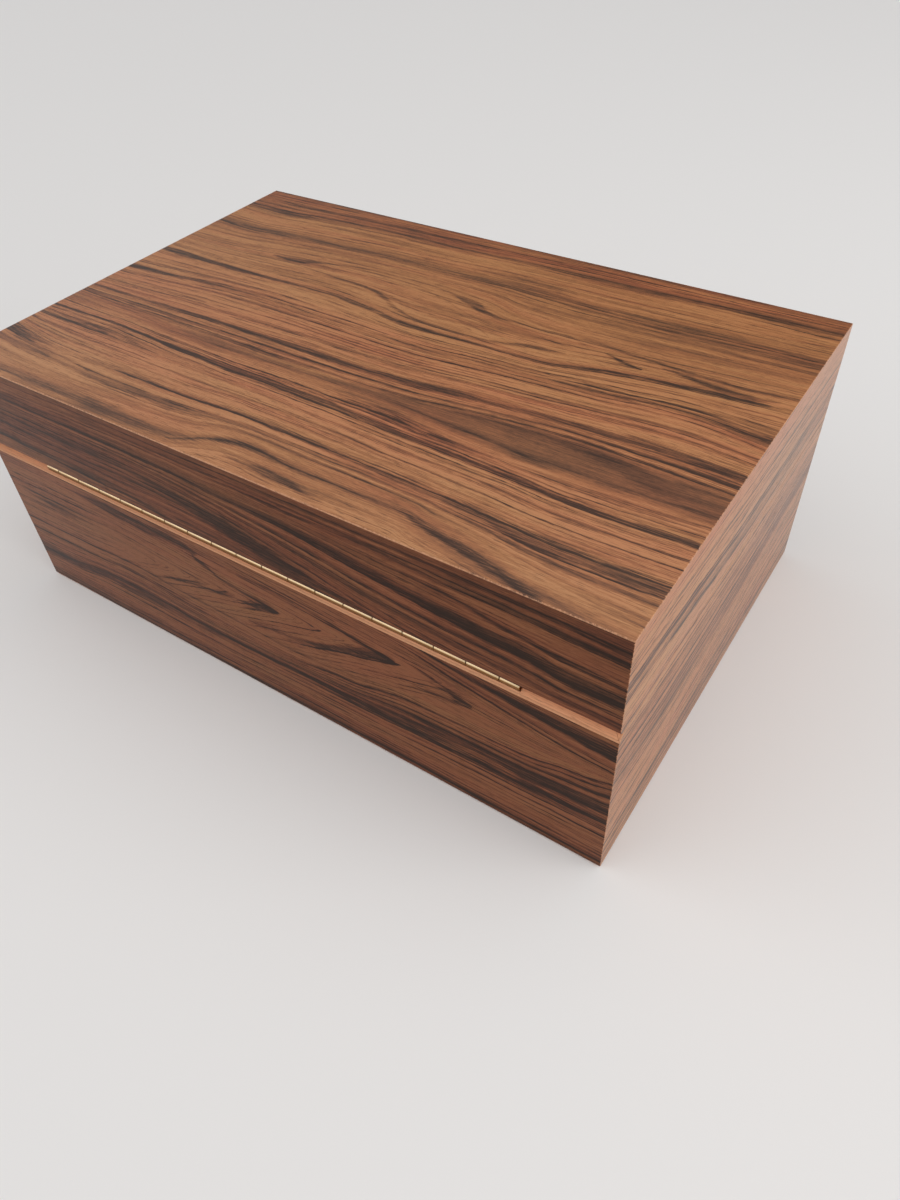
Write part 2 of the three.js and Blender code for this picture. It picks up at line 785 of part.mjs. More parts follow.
// Instruments under the lid
add("hygrometer_case", hygrometerCase(), "brass");
add("hygrometer_dial", hygrometerDial(), "dial");
add("hygrometer_needle", hygrometerNeedle(), "plastic");
add("hygrometer_coil", hygrometerCoil(), "brass");
add("hygrometer_glass", hygrometerGlass(), "glass");
add("humidifier_case", humidifierCase(), "plastic");
add("humidifier_pad", humidifierPad(), "foam");
add("humidifier_cover", humidifierCover(), "plastic");
add("humidifier_magnet", humidifierMagnet(), "steel");

export default humidor;
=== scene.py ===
import math

import bmesh
import bpy
from mathutils import Matrix, Vector


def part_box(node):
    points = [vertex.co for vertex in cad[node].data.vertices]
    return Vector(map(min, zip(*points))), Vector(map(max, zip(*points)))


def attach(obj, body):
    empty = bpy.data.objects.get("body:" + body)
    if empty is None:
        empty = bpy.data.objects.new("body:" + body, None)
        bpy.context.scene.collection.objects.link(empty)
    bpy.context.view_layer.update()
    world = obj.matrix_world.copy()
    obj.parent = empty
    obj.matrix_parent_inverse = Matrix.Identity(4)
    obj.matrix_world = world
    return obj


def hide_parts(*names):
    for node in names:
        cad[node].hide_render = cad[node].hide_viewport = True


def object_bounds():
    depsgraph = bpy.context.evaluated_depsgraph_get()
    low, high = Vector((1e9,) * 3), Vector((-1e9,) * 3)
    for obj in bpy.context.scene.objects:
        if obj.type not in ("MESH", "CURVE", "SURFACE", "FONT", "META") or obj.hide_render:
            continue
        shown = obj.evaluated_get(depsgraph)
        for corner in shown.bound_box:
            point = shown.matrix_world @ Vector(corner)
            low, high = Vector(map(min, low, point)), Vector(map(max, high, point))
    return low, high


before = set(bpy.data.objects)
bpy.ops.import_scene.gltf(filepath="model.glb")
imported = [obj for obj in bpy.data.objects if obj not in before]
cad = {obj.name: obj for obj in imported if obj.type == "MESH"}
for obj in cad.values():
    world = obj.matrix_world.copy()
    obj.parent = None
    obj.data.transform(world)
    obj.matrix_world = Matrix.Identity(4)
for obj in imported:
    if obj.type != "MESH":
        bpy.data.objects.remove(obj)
cad_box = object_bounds()
mm = 0.001

# Camera. It stands behind the box and above its lid, near the left end, about as close as an arm reaches.
# Its place and lens are those that put the box's corners where the photograph has them.
camera_place = Vector((-0.2360, 0.2951, 0.3430))
camera_ahead = Vector((0.4157, -0.5751, -0.7046)).normalized()
camera_right = Vector((-0.8329, -0.5519, -0.0410)).normalized()
camera_up = camera_right.cross(camera_ahead)
camera_lens = 26.6
camera_sensor = 36
camera_data = bpy.data.cameras.new("camera")
camera_data.sensor_width = camera_sensor
camera_data.lens = camera_lens
camera_data.clip_start = 10 * mm
camera = bpy.data.objects.new("camera", camera_data)
bpy.context.scene.collection.objects.link(camera)
turn = Matrix((camera_right, camera_up, -camera_ahead)).transposed()
camera.matrix_world = Matrix.Translation(camera_place) @ turn.to_4x4()
bpy.context.scene.camera = camera
bpy.context.scene.view_settings.view_transform = "Standard"


# Table and light. The box stands on a plain pale top in a room that is brightest overhead, with a large
# soft window beyond the left end, so that the back is darker than the lid; painted shade in the back's
# veneer darkens it further. A paler part of the room, low behind the viewer, is what the brass of the
# hinge mirrors.
def paint(red, green, blue):
    """A colour as it is picked from a screen, 0 to 255, as the shaders want it."""
    share = [value / 255 for value in (red, green, blue)]
    return [s / 12.92 if s < 0.04045 else ((s + 0.055) / 1.055) ** 2.4 for s in share] + [1]


def fit(tree, kind, sockets, **settings):
    """Adds a shader node to a tree, with its settings, and fills or links its sockets."""
    made = tree.nodes.new("ShaderNode" + kind)
    for name, value in settings.items():
        setattr(made, name, value)
    for name, value in sockets.items():
        if isinstance(value, bpy.types.NodeSocket):
            tree.links.new(value, made.inputs[name])
        else:
            made.inputs[name].default_value = value
    return made


def home(*values):
    """The tree of the first node socket among some values."""
    return next(value.id_data for value in values if isinstance(value, bpy.types.NodeSocket))


def maths(operation, *values):
    """The result of one arithmetic node, in the tree that its values come from."""
    return fit(home(*values), "Math", dict(enumerate(values)), operation=operation).outputs[0]


def times_plus(first, second, third):
    """One value times another, with a third added."""
    return maths("MULTIPLY_ADD", first, second, third)


def finish_for(name, **sockets):
    """A new material and its main shader, with plain values set on the shader's own sockets."""
    made = bpy.data.materials.new(name)
    made.use_nodes = True
    shader = made.node_tree.nodes["Principled BSDF"]
    for socket, value in sockets.items():
        shader.inputs[socket.replace("_", " ")].default_value = value
    return made, made.node_tree, shader


def unpick():
    """Leaves nothing selected, as the next operator acts on all that is."""
    bpy.ops.object.select_all(action="DESELECT")


table_size = 12
table_drop = 0.02 * mm
unpick()
bpy.ops.mesh.primitive_plane_add(size=table_size, location=(0, 0, -table_drop))
table = bpy.context.object
table.name = "table"
table_finish, tree, shader = finish_for("table top", Roughness=0.6, Specular_IOR_Level=0.2)
shader.inputs["Base Color"].default_value = paint(238, 236, 233)
table.data.materials.append(table_finish)

room_colour = paint(248, 248, 250)
room_dimmest = 0.08
# The way to each bright part of the room, how bright it is and how narrow
room_glows = [
    ((-0.4, 0.08, 0.9), 1.52, 3),
    ((0.8, 0.38, 0.48), 1.25, 8),
    ((0.9, -0.3, 0.3), 0.35, 6),
    ((0.4, 0.87, 0.25), 0.8, 8),
]
world = bpy.data.worlds.new("room")
world.use_nodes = True
bpy.context.scene.world = world
sky = world.node_tree
way = fit(sky, "TexCoord", {}).outputs["Generated"]
glow = room_dimmest
for brightest_way, brightest, narrow in room_glows:
    near = Vector(brightest_way).normalized()
    near = fit(sky, "VectorMath", {0: way, 1: near}, operation="DOT_PRODUCT").outputs["Value"]
    near = maths("POWER", maths("MAXIMUM", near, 0), narrow)
    glow = times_plus(near, brightest, glow)
sky.links.new(glow, sky.nodes["Background"].inputs["Strength"])
sky.nodes["Background"].inputs["Color"].default_value = room_colour

window_place = Vector((-1.6, -0.2, 0.75))
window_width = 1.4
window_watts = 9
window_data = bpy.data.lights.new("window", "AREA")
window_data.size = window_width
window_data.energy = window_watts
window = bpy.data.objects.new("window", window_data)
bpy.context.scene.collection.objects.link(window)
window.location = window_place
window.rotation_euler = (-window_place).to_track_quat("-Z", "Y").to_euler()


# Base walls, bottom and lid panel. Mitred boards of a plain pinkish mahogany, which show only in the bevels
# of the groove at the back and on the rims when the lid is open. They are bare and planed.
def times(first, second):
    """One value times another."""
    return maths("MULTIPLY", first, second)


def less(first, second):
    """One value less another."""
    return maths("SUBTRACT", first, second)


def mixed(share, first, second, way="MIX"):
    """Two colours mixed by a share."""
    sockets = {0: share, 6: first, 7: second}
    return fit(home(share, first, second), "Mix", sockets, data_type="RGBA", blend_type=way).outputs[2]


def ramp(value, stops):
    """A grey value or a colour read off a table of places and shades."""
    made = fit(home(value), "ValToRGB", {"Fac": value})
    elements = made.color_ramp.elements
    elements[0].position, elements[1].position = stops[0][0], stops[-1][0]
    for place, _ in stops[1:-1]:
        elements.new(place)
    for element, (_, shade) in zip(elements, stops):
        element.color = shade if isinstance(shade, list) else (shade, shade, shade, 1)
    return made.outputs["Color"]


def grained(along, across, through, stretch, detail=3, roughness=0.55, distortion=0):
    """Noise drawn out along the grain. The stretch is in cycles a millimetre along, across and through."""
    tree = home(along)
    place = fit(tree, "CombineXYZ", {"X": along, "Y": across, "Z": through}).outputs[0]
    drawn = fit(tree, "VectorMath", {0: place, 1: stretch}, operation="MULTIPLY").outputs[0]
    sockets = {"Vector": drawn, "Scale": 1, "Detail": detail, "Roughness": roughness}
    return fit(tree, "TexNoise", sockets | {"Distortion": distortion}).outputs["Fac"]


def effect(name, wants, gives, colours=("Color", "Pale", "Deep", "Tone")):
    """An empty node group with named inputs and outputs, some of them colours, and its two end nodes."""
    group = bpy.data.node_groups.new(name, "ShaderNodeTree")
    for way, sockets in (("INPUT", wants), ("OUTPUT", gives)):
        for socket in sockets.split():
            kind = "NodeSocketColor" if socket in colours else "NodeSocketFloat"
            group.interface.new_socket(socket, in_out=way, socket_type=kind)
    start = group.nodes.new("NodeGroupInput")
    end = group.nodes.new("NodeGroupOutput")
    return group, start.outputs, end.inputs


def use(tree, group, sockets):
    """One placing of a node group in a tree."""
    return fit(tree, "Group", sockets, node_tree=group).outputs


def in_millimetres(tree):
    """The piece's own X, Y and Z in millimetres."""
    place = fit(tree, "TexCoord", {}).outputs["Object"]
    scaled = fit(tree, "VectorMath", {0: place, "Scale": 1000}, operation="SCALE").outputs[0]
    return fit(tree, "SeparateXYZ", {0: scaled}).outputs


bare_wood, start, end = effect("bare wood", "Along Across Through Pale Deep Pore", "Color Roughness Height")
place = start[:3]
rings = grained(*place, (0.004, 0.16, 0.16), 4, 0.6, 0.3)
fibre = grained(*place, (0.03, 2.2, 2.2), 3, 0.6)
pores = grained(*place, (0.2, 4.0, 4.0), 1, 0.5)
tone = ramp(rings, [(0.3, 0), (0.48, 0.35), (0.56, 0.6), (0.7, 1)])
ground = mixed(tone, start["Pale"], start["Deep"])
streaked = mixed(ramp(fibre, [(0.35, 0.35), (0.65, 0)]), ground, start["Deep"])
open_pore = times(ramp(pores, [(0.6, 0), (0.68, 1)]), start["Pore"])
shaded = mixed(open_pore, streaked, [0.09, 0.045, 0.025, 1])
bare_wood.links.new(shaded, end["Color"])
bare_wood.links.new(times_plus(fibre, 0.2, 0.55), end["Roughness"])
bare_wood.links.new(less(fibre, open_pore), end["Height"])


def coat(shader, colour, rough=None, relief=None):
    """Gives a shader its colour, its roughness and a slight relief, as a height, a strength and a depth."""
    tree = shader.id_data
    tree.links.new(colour, shader.inputs["Base Color"])
    if rough is not None:
        tree.links.new(rough, shader.inputs["Roughness"])
    if relief is not None:
        height, strength, deep = relief
        bump = fit(tree, "Bump", {"Strength": strength, "Distance": deep, "Height": height})
        tree.links.new(bump.outputs[0], shader.inputs["Normal"])


def bare_board(name, axes, pale, deep, pore, gloss=0.35):
    """Bare wood whose grain runs along the first of three axes."""
    made, tree, shader = finish_for(name, Specular_IOR_Level=gloss)
    place = in_millimetres(tree)
    along, across, through = (place[axis] for axis in axes)
    sockets = {"Along": along, "Across": across, "Through": through}
    wood = use(tree, bare_wood, sockets | {"Pale": pale, "Deep": deep, "Pore": pore})
    coat(shader, wood["Color"], wood["Roughness"], (wood["Height"], 0.25, 0.05 * mm))
    return made


def dress(names, material):
    """Gives CAD pieces a material."""
    for name in names:
        if not cad[name].material_slots:
            cad[name].data.materials.append(material)
        for held in cad[name].material_slots:
            held.material = material


mahogany_pale = paint(230, 168, 125)
mahogany_deep = paint(200, 136, 96)
mahogany_pore = 0.35
mahogany_long = bare_board("mahogany along", "XZY", mahogany_pale, mahogany_deep, mahogany_pore)
mahogany_short = bare_board("mahogany across", "YZX", mahogany_pale, mahogany_deep, mahogany_pore)
mahogany_flat = bare_board("mahogany flat", "XYZ", mahogany_pale, mahogany_deep, mahogany_pore)
for part in ("base", "lid"):
    dress([part + "_front_wall", part + "_back_wall"], mahogany_long)
    dress([part + "_left_wall", part + "_right_wall"], mahogany_short)
dress(["base_bottom_panel", "lid_top_panel"], mahogany_flat)


# Rosewood veneer. Thin sheets glued over the walls and the lid, laid before the box was sawn into base and
# lid, so that the figure runs on across the seam. The arrises are barely eased and the lacquer is satin.
veneer_thick = 0.6 * mm
veneer_ease = 0.25 * mm
veneer_ease_steps = 4
half_long, half_deep, box_top = cad_box[1]
veneer_foot, base_rim = (corner.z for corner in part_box("base_front_veneer"))
lid_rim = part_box("lid_front_veneer")[0].z
lid_skin_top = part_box("lid_top_veneer")[0].z
bevel_in = 2.75 * mm


def course(along, points):
    """A smooth course through chosen points: a value for each place along the grain."""
    tree = home(along)
    start, stop = points[0][0], points[-1][0]
    top = max(value for _, value in points) + 0.001
    share = fit(tree, "MapRange", {"Value": along, "From Min": start, "From Max": stop}).outputs[0]
    made = fit(tree, "FloatCurve", {"Value": share})
    line = made.mapping.curves[0]
    line.points[0].location = (0, points[0][1] / top)
    line.points[1].location = (1, points[-1][1] / top)
    for place, value in points[1:-1]:
        line.points.new((place - start) / (stop - start), value / top)
    for point in line.points:
        point.handle_type = "AUTO_CLAMPED"
    made.mapping.update()
    return times(made.outputs[0], top)


def flow(along, across, guides):
    """How far across the grain a place lies, where the grain bends as the guides do."""
    ring = 0.0
    lines = [(level, course(along, points)) for level, points in guides]
    for (low, low_line), (high, high_line) in zip([(0, 0.0)] + lines, lines):
        sockets = {"Value": across, "From Min": low_line, "From Max": high_line, "To Max": high - low}
        ring = maths("ADD", ring, fit(home(across), "MapRange", sockets).outputs[0])
    return ring


def vein(along, across, rag, feather, streak, points, depth, soft):
    """A dark feathered vein and a faint shade beside it. Each point: along, across, half a width."""
    track = course(along, [(s, w) for s, w, _ in points])
    half = course(along, [(s, half) for s, _, half in points])
    aside = maths("ABSOLUTE", less(across, track))
    inside = less(times(half, rag), aside)
    inside = times_plus(feather, maths("MINIMUM", half, 1), inside)
    edge = times_plus(inside, 1 / soft, 0.5)
    edge = fit(home(edge), "Clamp", {"Value": edge}).outputs[0]
    shade = times_plus(inside, 0.2 / soft, 0.45)
    tip = maths("MINIMUM", times(half, 2.5), 1)
    body = times(times(maths("MAXIMUM", edge, shade), tip), depth)
    return times(body, streak)


def swayed(base, noise, reach):
    """A value moved up and down by a noise that has its middle at a half."""
    return times_plus(less(noise, 0.5), reach, base)


wander, start, end = effect("wandering grain", "Along Across Seed", "Shift")
place = (start["Along"], start["Across"], start["Seed"])
# How far the grain strays in millimetres, over what lengths, and in how many octaves
bends = [(4.0, (0.006, 0.02, 1), 1), (1.6, (0.03, 0.12, 1), 1), (0.9, (0.15, 0.9, 1), 2)]
total = 0.0
for reach, stretch, detail in bends:
    total = swayed(total, grained(*place, stretch, detail, 0.5), reach)
wander.links.new(total, end["Shift"])

growing, start, end = effect("lines of growth", "Along Ring Seed Spacing Thin", "Mask")
crowding = grained(start["Along"], start["Ring"], start["Seed"], (0.0025, 0.07, 1), 1)
turns = maths("DIVIDE", start["Ring"], start["Spacing"])
turns = times_plus(crowding, 3.5, turns)
number = maths("FLOOR", turns)
share = less(turns, number)
own = times_plus(start["Seed"], 3.7, number)
chance = fit(growing, "TexWhiteNoise", {"W": own}, noise_dimensions="1D").outputs["Value"]
own_place = (start["Along"], times(own, 5.3), start["Seed"])
fade = grained(*own_place, (0.013, 1, 1), 2)
fade = ramp(fade, [(0.34, 0.2), (0.58, 1)])
strength = maths("POWER", chance, 0.9)
strength = times(strength, fade)
shape = ramp(share, [(0, 0), (0.4, 0.06), (0.68, 0.3), (0.82, 0.8), (0.89, 1), (1, 0)])
shape = maths("POWER", shape, start["Thin"])
broken = grained(start["Along"], start["Ring"], start["Seed"], (0.06, 1.5, 1), 2)
broken = ramp(broken, [(0.36, 0.35), (0.6, 1.25)])
strength = times(strength, broken)
growing.links.new(times(shape, strength), end["Mask"])

rosewood, start, end = effect(
    "rosewood", "Along Across Ring Seed Depth Red Lines Tone", "Color Roughness Height"
)
by_ring = (start["Along"], start["Ring"], start["Seed"])
straight = (start["Along"], start["Across"], start["Seed"])
broad = grained(*by_ring, (0.006, 0.09, 1), 3, 0.6)
fibre = grained(*straight, (0.045, 2.6, 1), 3, 0.65)
fleck = grained(*straight, (0.35, 1.7, 1), 2, 0.6)
pores = grained(*straight, (0.14, 4.2, 1), 1, 0.5)
patchy = grained(*by_ring, (0.015, 0.28, 1), 2, 0.55)
dark = swayed(start["Depth"], broad, 0.7)
dark = swayed(dark, patchy, 0.85)
# How far apart each kind of growth line lies in millimetres, how thin it is and how strong
growth_kinds = [(8.5, 1, 0.55), (3.9, 1.2, 1.05), (1.9, 1.3, 0.75), (0.85, 1.2, 0.6)]
growth_mean = 0.31
growth = -growth_mean
for spacing, thin, strong in growth_kinds:
    sockets = {name: start[name] for name in ("Along", "Ring", "Seed")} | {"Spacing": spacing, "Thin": thin}
    growth = times_plus(use(rosewood, growing, sockets)["Mask"], strong, growth)
dark = times_plus(growth, start["Lines"], dark)
dark = swayed(dark, fibre, 1.0)
dark = swayed(dark, fleck, 0.45)
brown_steps = [
    (0, paint(198, 141, 95)), (0.25, paint(176, 120, 78)), (0.5, paint(146, 99, 68)),
    (0.75, paint(108, 76, 56)), (1, paint(70, 53, 43)),
]
red_steps = [
    (0, paint(197, 124, 87)), (0.25, paint(171, 102, 71)), (0.5, paint(138, 82, 60)),
    (0.75, paint(103, 64, 48)), (1, paint(73, 50, 40)),
]
hue = grained(*by_ring, (0.01, 0.14, 2), 2)
redness = swayed(start["Red"], hue, 1.6)
redness = fit(rosewood, "Clamp", {"Value": redness}).outputs[0]
wood = mixed(redness, ramp(dark, brown_steps), ramp(dark, red_steps))
open_pore = ramp(pores, [(0.60, 0), (0.67, 1)])
pored = mixed(times(open_pore, 0.5), wood, paint(56, 40, 33))
rosewood.links.new(mixed(1, pored, start["Tone"], "MULTIPLY"), end["Color"])
rosewood.links.new(times_plus(open_pore, 0.12, 0.36), end["Roughness"])
raised = times(fibre, 0.25)
rosewood.links.new(times_plus(open_pore, -1, raised), end["Height"])

cut_edges, start, end = effect("cut and worn edges", "X Y Z Aside Facing Flat", "Mask Color")
place = start[:3]
chips = grained(*place, (0.8, 0.8, 0.8), 3, 0.7)
# How far wear reaches in from an arris in millimetres, with none where this is below nothing
worn = times_plus(chips, 1.9, -0.86)
worn = times_plus(less(worn, start["Aside"]), 4, 0.5)
# A wall's sheet shows its sawn edge where it faces up or down, the lid's sheet where it faces sideways
sawn = maths("GREATER_THAN", start["Facing"], 0.5)
sawn = maths("COMPARE", sawn, start["Flat"], 0.5)
sawn = less(1, sawn)
held = times_plus(start["Flat"], -0.55, 0.85)
worn = times(worn, 0.7)
edge = maths("MAXIMUM", worn, times(sawn, held))
cut_edges.links.new(fit(cut_edges, "Clamp", {"Value": edge, "Max": 0.85}).outputs[0], end["Mask"])
cut_edges.links.new(mixed(chips, paint(234, 176, 134), paint(196, 140, 104)), end["Color"])


def strokes(level, marks):
    """Thin lines at some levels, as dark as each mark says, and none between them."""
    half, past_all = 1.2, 250
    points = [(0, 0)]
    for place, dark in marks:
        points += [(place - half, 0), (place, dark), (place + half, 0)]
    return course(level, points + [(past_all, 0)])


def arched(along, across):
    """How far along a set of nested arches a place lies, whose tips point along the grain."""
    axis = times_plus(along, -0.09, 91)
    aside = less(across, axis)
    rounded = maths("SQRT", times_plus(aside, aside, 2.5))
    steep = times_plus(maths("SIGN", aside), -1.2, 5.3)
    behind = times_plus(rounded, steep, along)
    return times(behind, 0.17)


vein_raggedness = 1.6
vein_feather = 2.5


def veneer_sheet(
    name, axes, zero, guides, depths, reds, lines, marks, veins, tone, gloss, seed, arches=None
):
    """A lacquered rosewood finish for one face, with every place in millimetres along and across it."""
    made, tree, shader = finish_for(name, Specular_IOR_Level=gloss[0])
    place = in_millimetres(tree)
    along = less(zero[0], place[axes[0]])
    across = maths("ABSOLUTE", less(zero[1], place[axes[1]]))
    shift = use(tree, wander, {"Along": along, "Across": across, "Seed": seed})["Shift"]
    lie = maths("ADD", across, shift)
    ring = flow(along, lie, guides)
    rag = grained(along, across, seed, (0.035, 0.25, 1), 2)
    rag = times_plus(rag, vein_raggedness, 0.2)
    feather = less(grained(along, across, seed, (0.09, 1.9, 1), 3, 0.7), 0.5)
    feather = times(feather, vein_feather)
    streak = grained(along, lie, seed, (0.022, 1.1, 1), 3, 0.65)
    streak = ramp(streak, [(0.36, 0.7), (0.58, 1.08)])
    long = guides[0][1][-1][0]
    share = maths("DIVIDE", along, long)
    left = course(ring, [(level, depth) for level, depth, _ in depths])
    right = course(ring, [(level, depth) for level, _, depth in depths])
    left = maths("ADD", left, strokes(ring, [(level, dark) for level, dark, _ in marks]))
    right = maths("ADD", right, strokes(ring, [(level, dark) for level, _, dark in marks]))
    depth = times_plus(less(right, left), share, left)
    for kind, points, strong, soft in veins:
        level = ring if kind == "ring" else lie
        drawn = vein(along, level, rag, feather, streak, points, strong, soft)
        depth = maths("MAXIMUM", depth, drawn)
    wide = (2 * half_deep if axes == "XY" else box_top) / mm
    tone = mixed(maths("DIVIDE", across, wide), *tone)
    sockets = {"Along": along, "Across": across, "Ring": ring, "Seed": seed, "Depth": depth, "Tone": tone}
    sockets |= {"Red": course(ring, reds), "Lines": course(ring, lines)}
    wood = use(tree, rosewood, sockets)
    colour = wood["Color"]
    if arches:
        nested = use(tree, rosewood, sockets | {"Ring": arched(along, lie)})["Color"]
        inside = ramp(maths("DIVIDE", ring, 100), arches[1])
        inside = times(ramp(share, arches[0]), inside)
        colour = mixed(inside, colour, nested)
    aside = maths("PINGPONG", along, long / 2)
    aside = maths("MINIMUM", aside, maths("PINGPONG", across, wide / 2))
    facing = fit(tree, "SeparateXYZ", {0: fit(tree, "TexCoord", {}).outputs["Normal"]}).outputs["Z"]
    sockets = {"Aside": aside, "Facing": maths("ABSOLUTE", facing), "Flat": float(axes == "XY")}
    bare = use(tree, cut_edges, sockets | {"X": place["X"], "Y": place["Y"], "Z": place["Z"]})
    colour = mixed(bare["Mask"], colour, bare["Color"])
    rough = times(wood["Roughness"], gloss[1])
    coat(shader, colour, rough, (wood["Height"], 0.15, 0.05 * mm))
    return made


def at_level(level, *places):
    """A vein that follows the grain at one level, with half its width at some places along."""
    return [(s, level, half) for s, half in places]


# The figure of each face, in millimetres. Guides say how the grain bends: a level, and where it runs at
# each place along. Depths and marks say how dark each level is at both ends, broadly and as thin lines.
# Reds and lines say how red each level is and how strong its growth lines are. Veins follow a level, or
# lie where their points say, and end with how dark and how soft they are.
top_guides = [
    (17.5, [(0, 24.5), (25, 25), (50, 22.5), (75, 20), (100, 18.5), (150, 18), (200, 16.5), (250, 16),
        (300, 14.5), (350, 14.5)]),
    (42, [(0, 49.3), (25, 50.8), (50, 48.3), (75, 46.8), (100, 45.5), (150, 43.8), (200, 41.3),
        (250, 40.8), (300, 39.5), (350, 38)]),
    (62, [(0, 68), (40, 66), (65, 62), (100, 58), (150, 56), (190, 58), (215, 65), (250, 67), (300, 66),
        (350, 64)]),
    (98, [(0, 94), (58, 95), (117, 93), (135, 95), (150, 97.5), (165, 100.5), (178, 101.2), (215, 100),
        (245, 98.8), (260, 95), (275, 91.3), (300, 87.5), (350, 83)]),
    (114, [(0, 120), (30, 117.5), (75, 113.8), (150, 115.5), (190, 116.3), (212, 114.5), (262, 110.8),
        (280, 109.3), (310, 105.5), (325, 106), (350, 109.3)]),
    (143, [(0, 144.5), (50, 143.3), (125, 142.5), (155, 143), (190, 142.5), (225, 140), (250, 138.3),
        (300, 134.5), (320, 133.8), (350, 135.8)]),
    (156, [(0, 156.5), (100, 157), (200, 156.5), (225, 153), (250, 148.8), (275, 147.5), (300, 148),
        (350, 150)]),
    (160, [(0, 159), (100, 160), (205, 159), (225, 161), (250, 163.8), (275, 166.3), (300, 166),
        (350, 164)]),
    (172, [(0, 170.5), (50, 169.3), (75, 170), (125, 171.3), (175, 172.5), (200, 173.3), (225, 175),
        (250, 176.3), (275, 177.5), (300, 179.5), (350, 178.8)]),
    (201, [(0, 194), (12, 196.3), (30, 198.8), (62, 200), (125, 199.3), (150, 198.3), (190, 199.3),
        (237, 200.8), (262, 202), (287, 203.8), (312, 205), (350, 203.8)]),
    (217, [(0, 232), (100, 228), (140, 226), (155, 218.8), (165, 215.5), (175, 214.5), (200, 216.3),
        (250, 215.5), (262, 218.8), (287, 223.8), (307, 228.8), (350, 236)]),
    (250, [(0, 260), (350, 260)]),
]
top_depths = [
    (0, 0.5, 0.45), (8, 0.46, 0.45), (15, 0.5, 0.64), (20, 0.3, 0.22), (26, 0.15, 0.18), (36, 0.24, 0.3),
    (40, 0.5, 0.48), (45, 0.42, 0.44), (50, 0.24, 0.34), (62, 0.2, 0.34), (80, 0.24, 0.24),
    (92, 0.25, 0.18), (98, 0.35, 0.22), (104, 0.2, 0.24), (110, 0.25, 0.28), (114, 0.42, 0.5),
    (118, 0.28, 0.35), (130, 0.26, 0.3), (138, 0.26, 0.2), (143, 0.45, 0.5), (147, 0.42, 0.42),
    (152, 0.44, 0.42), (156, 0.5, 0.66), (158, 0.42, 0.76), (160, 0.42, 0.62), (164, 0.28, 0.26),
    (169, 0.3, 0.36), (172, 0.5, 0.5), (176, 0.28, 0.2), (190, 0.32, 0.26), (197, 0.34, 0.36),
    (201, 0.45, 0.55), (205, 0.24, 0.24), (213, 0.2, 0.22), (217, 0.32, 0.3), (222, 0.28, 0.17),
    (250, 0.34, 0.2),
]
top_reds = [
    (0, 0.7), (14, 0.6), (20, 0.15), (90, 0.1), (110, 0.2), (125, 0.4), (140, 0.4), (144, 0.45),
    (155, 0.3), (161, 0.3), (168, 0.5), (175, 0.35), (195, 0.3), (204, 0.15), (250, 0.1),
]
top_lines = [
    (0, 0.9), (16, 0.8), (24, 0.7), (60, 0.6), (90, 0.65), (100, 0.9), (120, 1.2), (153, 1.2), (156, 0.4),
    (160, 0.4), (164, 0.8), (172, 1.3), (200, 1.2), (208, 0.8), (213, 0.2), (220, 0.2), (224, 0.6),
    (250, 0.7),
]
top_marks = [
    (24, 0.15, 0.1), (30, 0.25, 0.2), (35, 0.25, 0.35), (46, 0.25, 0.3), (52, 0.2, 0.3), (57, 0.3, 0.2),
    (105, 0.25, 0.4), (109, 0.3, 0.35), (120, 0.45, 0.3), (128, 0.45, 0.6), (133, 0.5, 0.55),
    (138, 0.4, 0.35), (149, 0.45, 0.5), (153, 0.4, 0.25), (167.5, 0.2, 0.2), (178, 0.4, 0.2),
    (182, 0.45, 0.45), (188.5, 0.5, 0.5), (193.5, 0.4, 0.3), (205.5, 0.45, 0.5), (209, 0.2, 0.2),
]
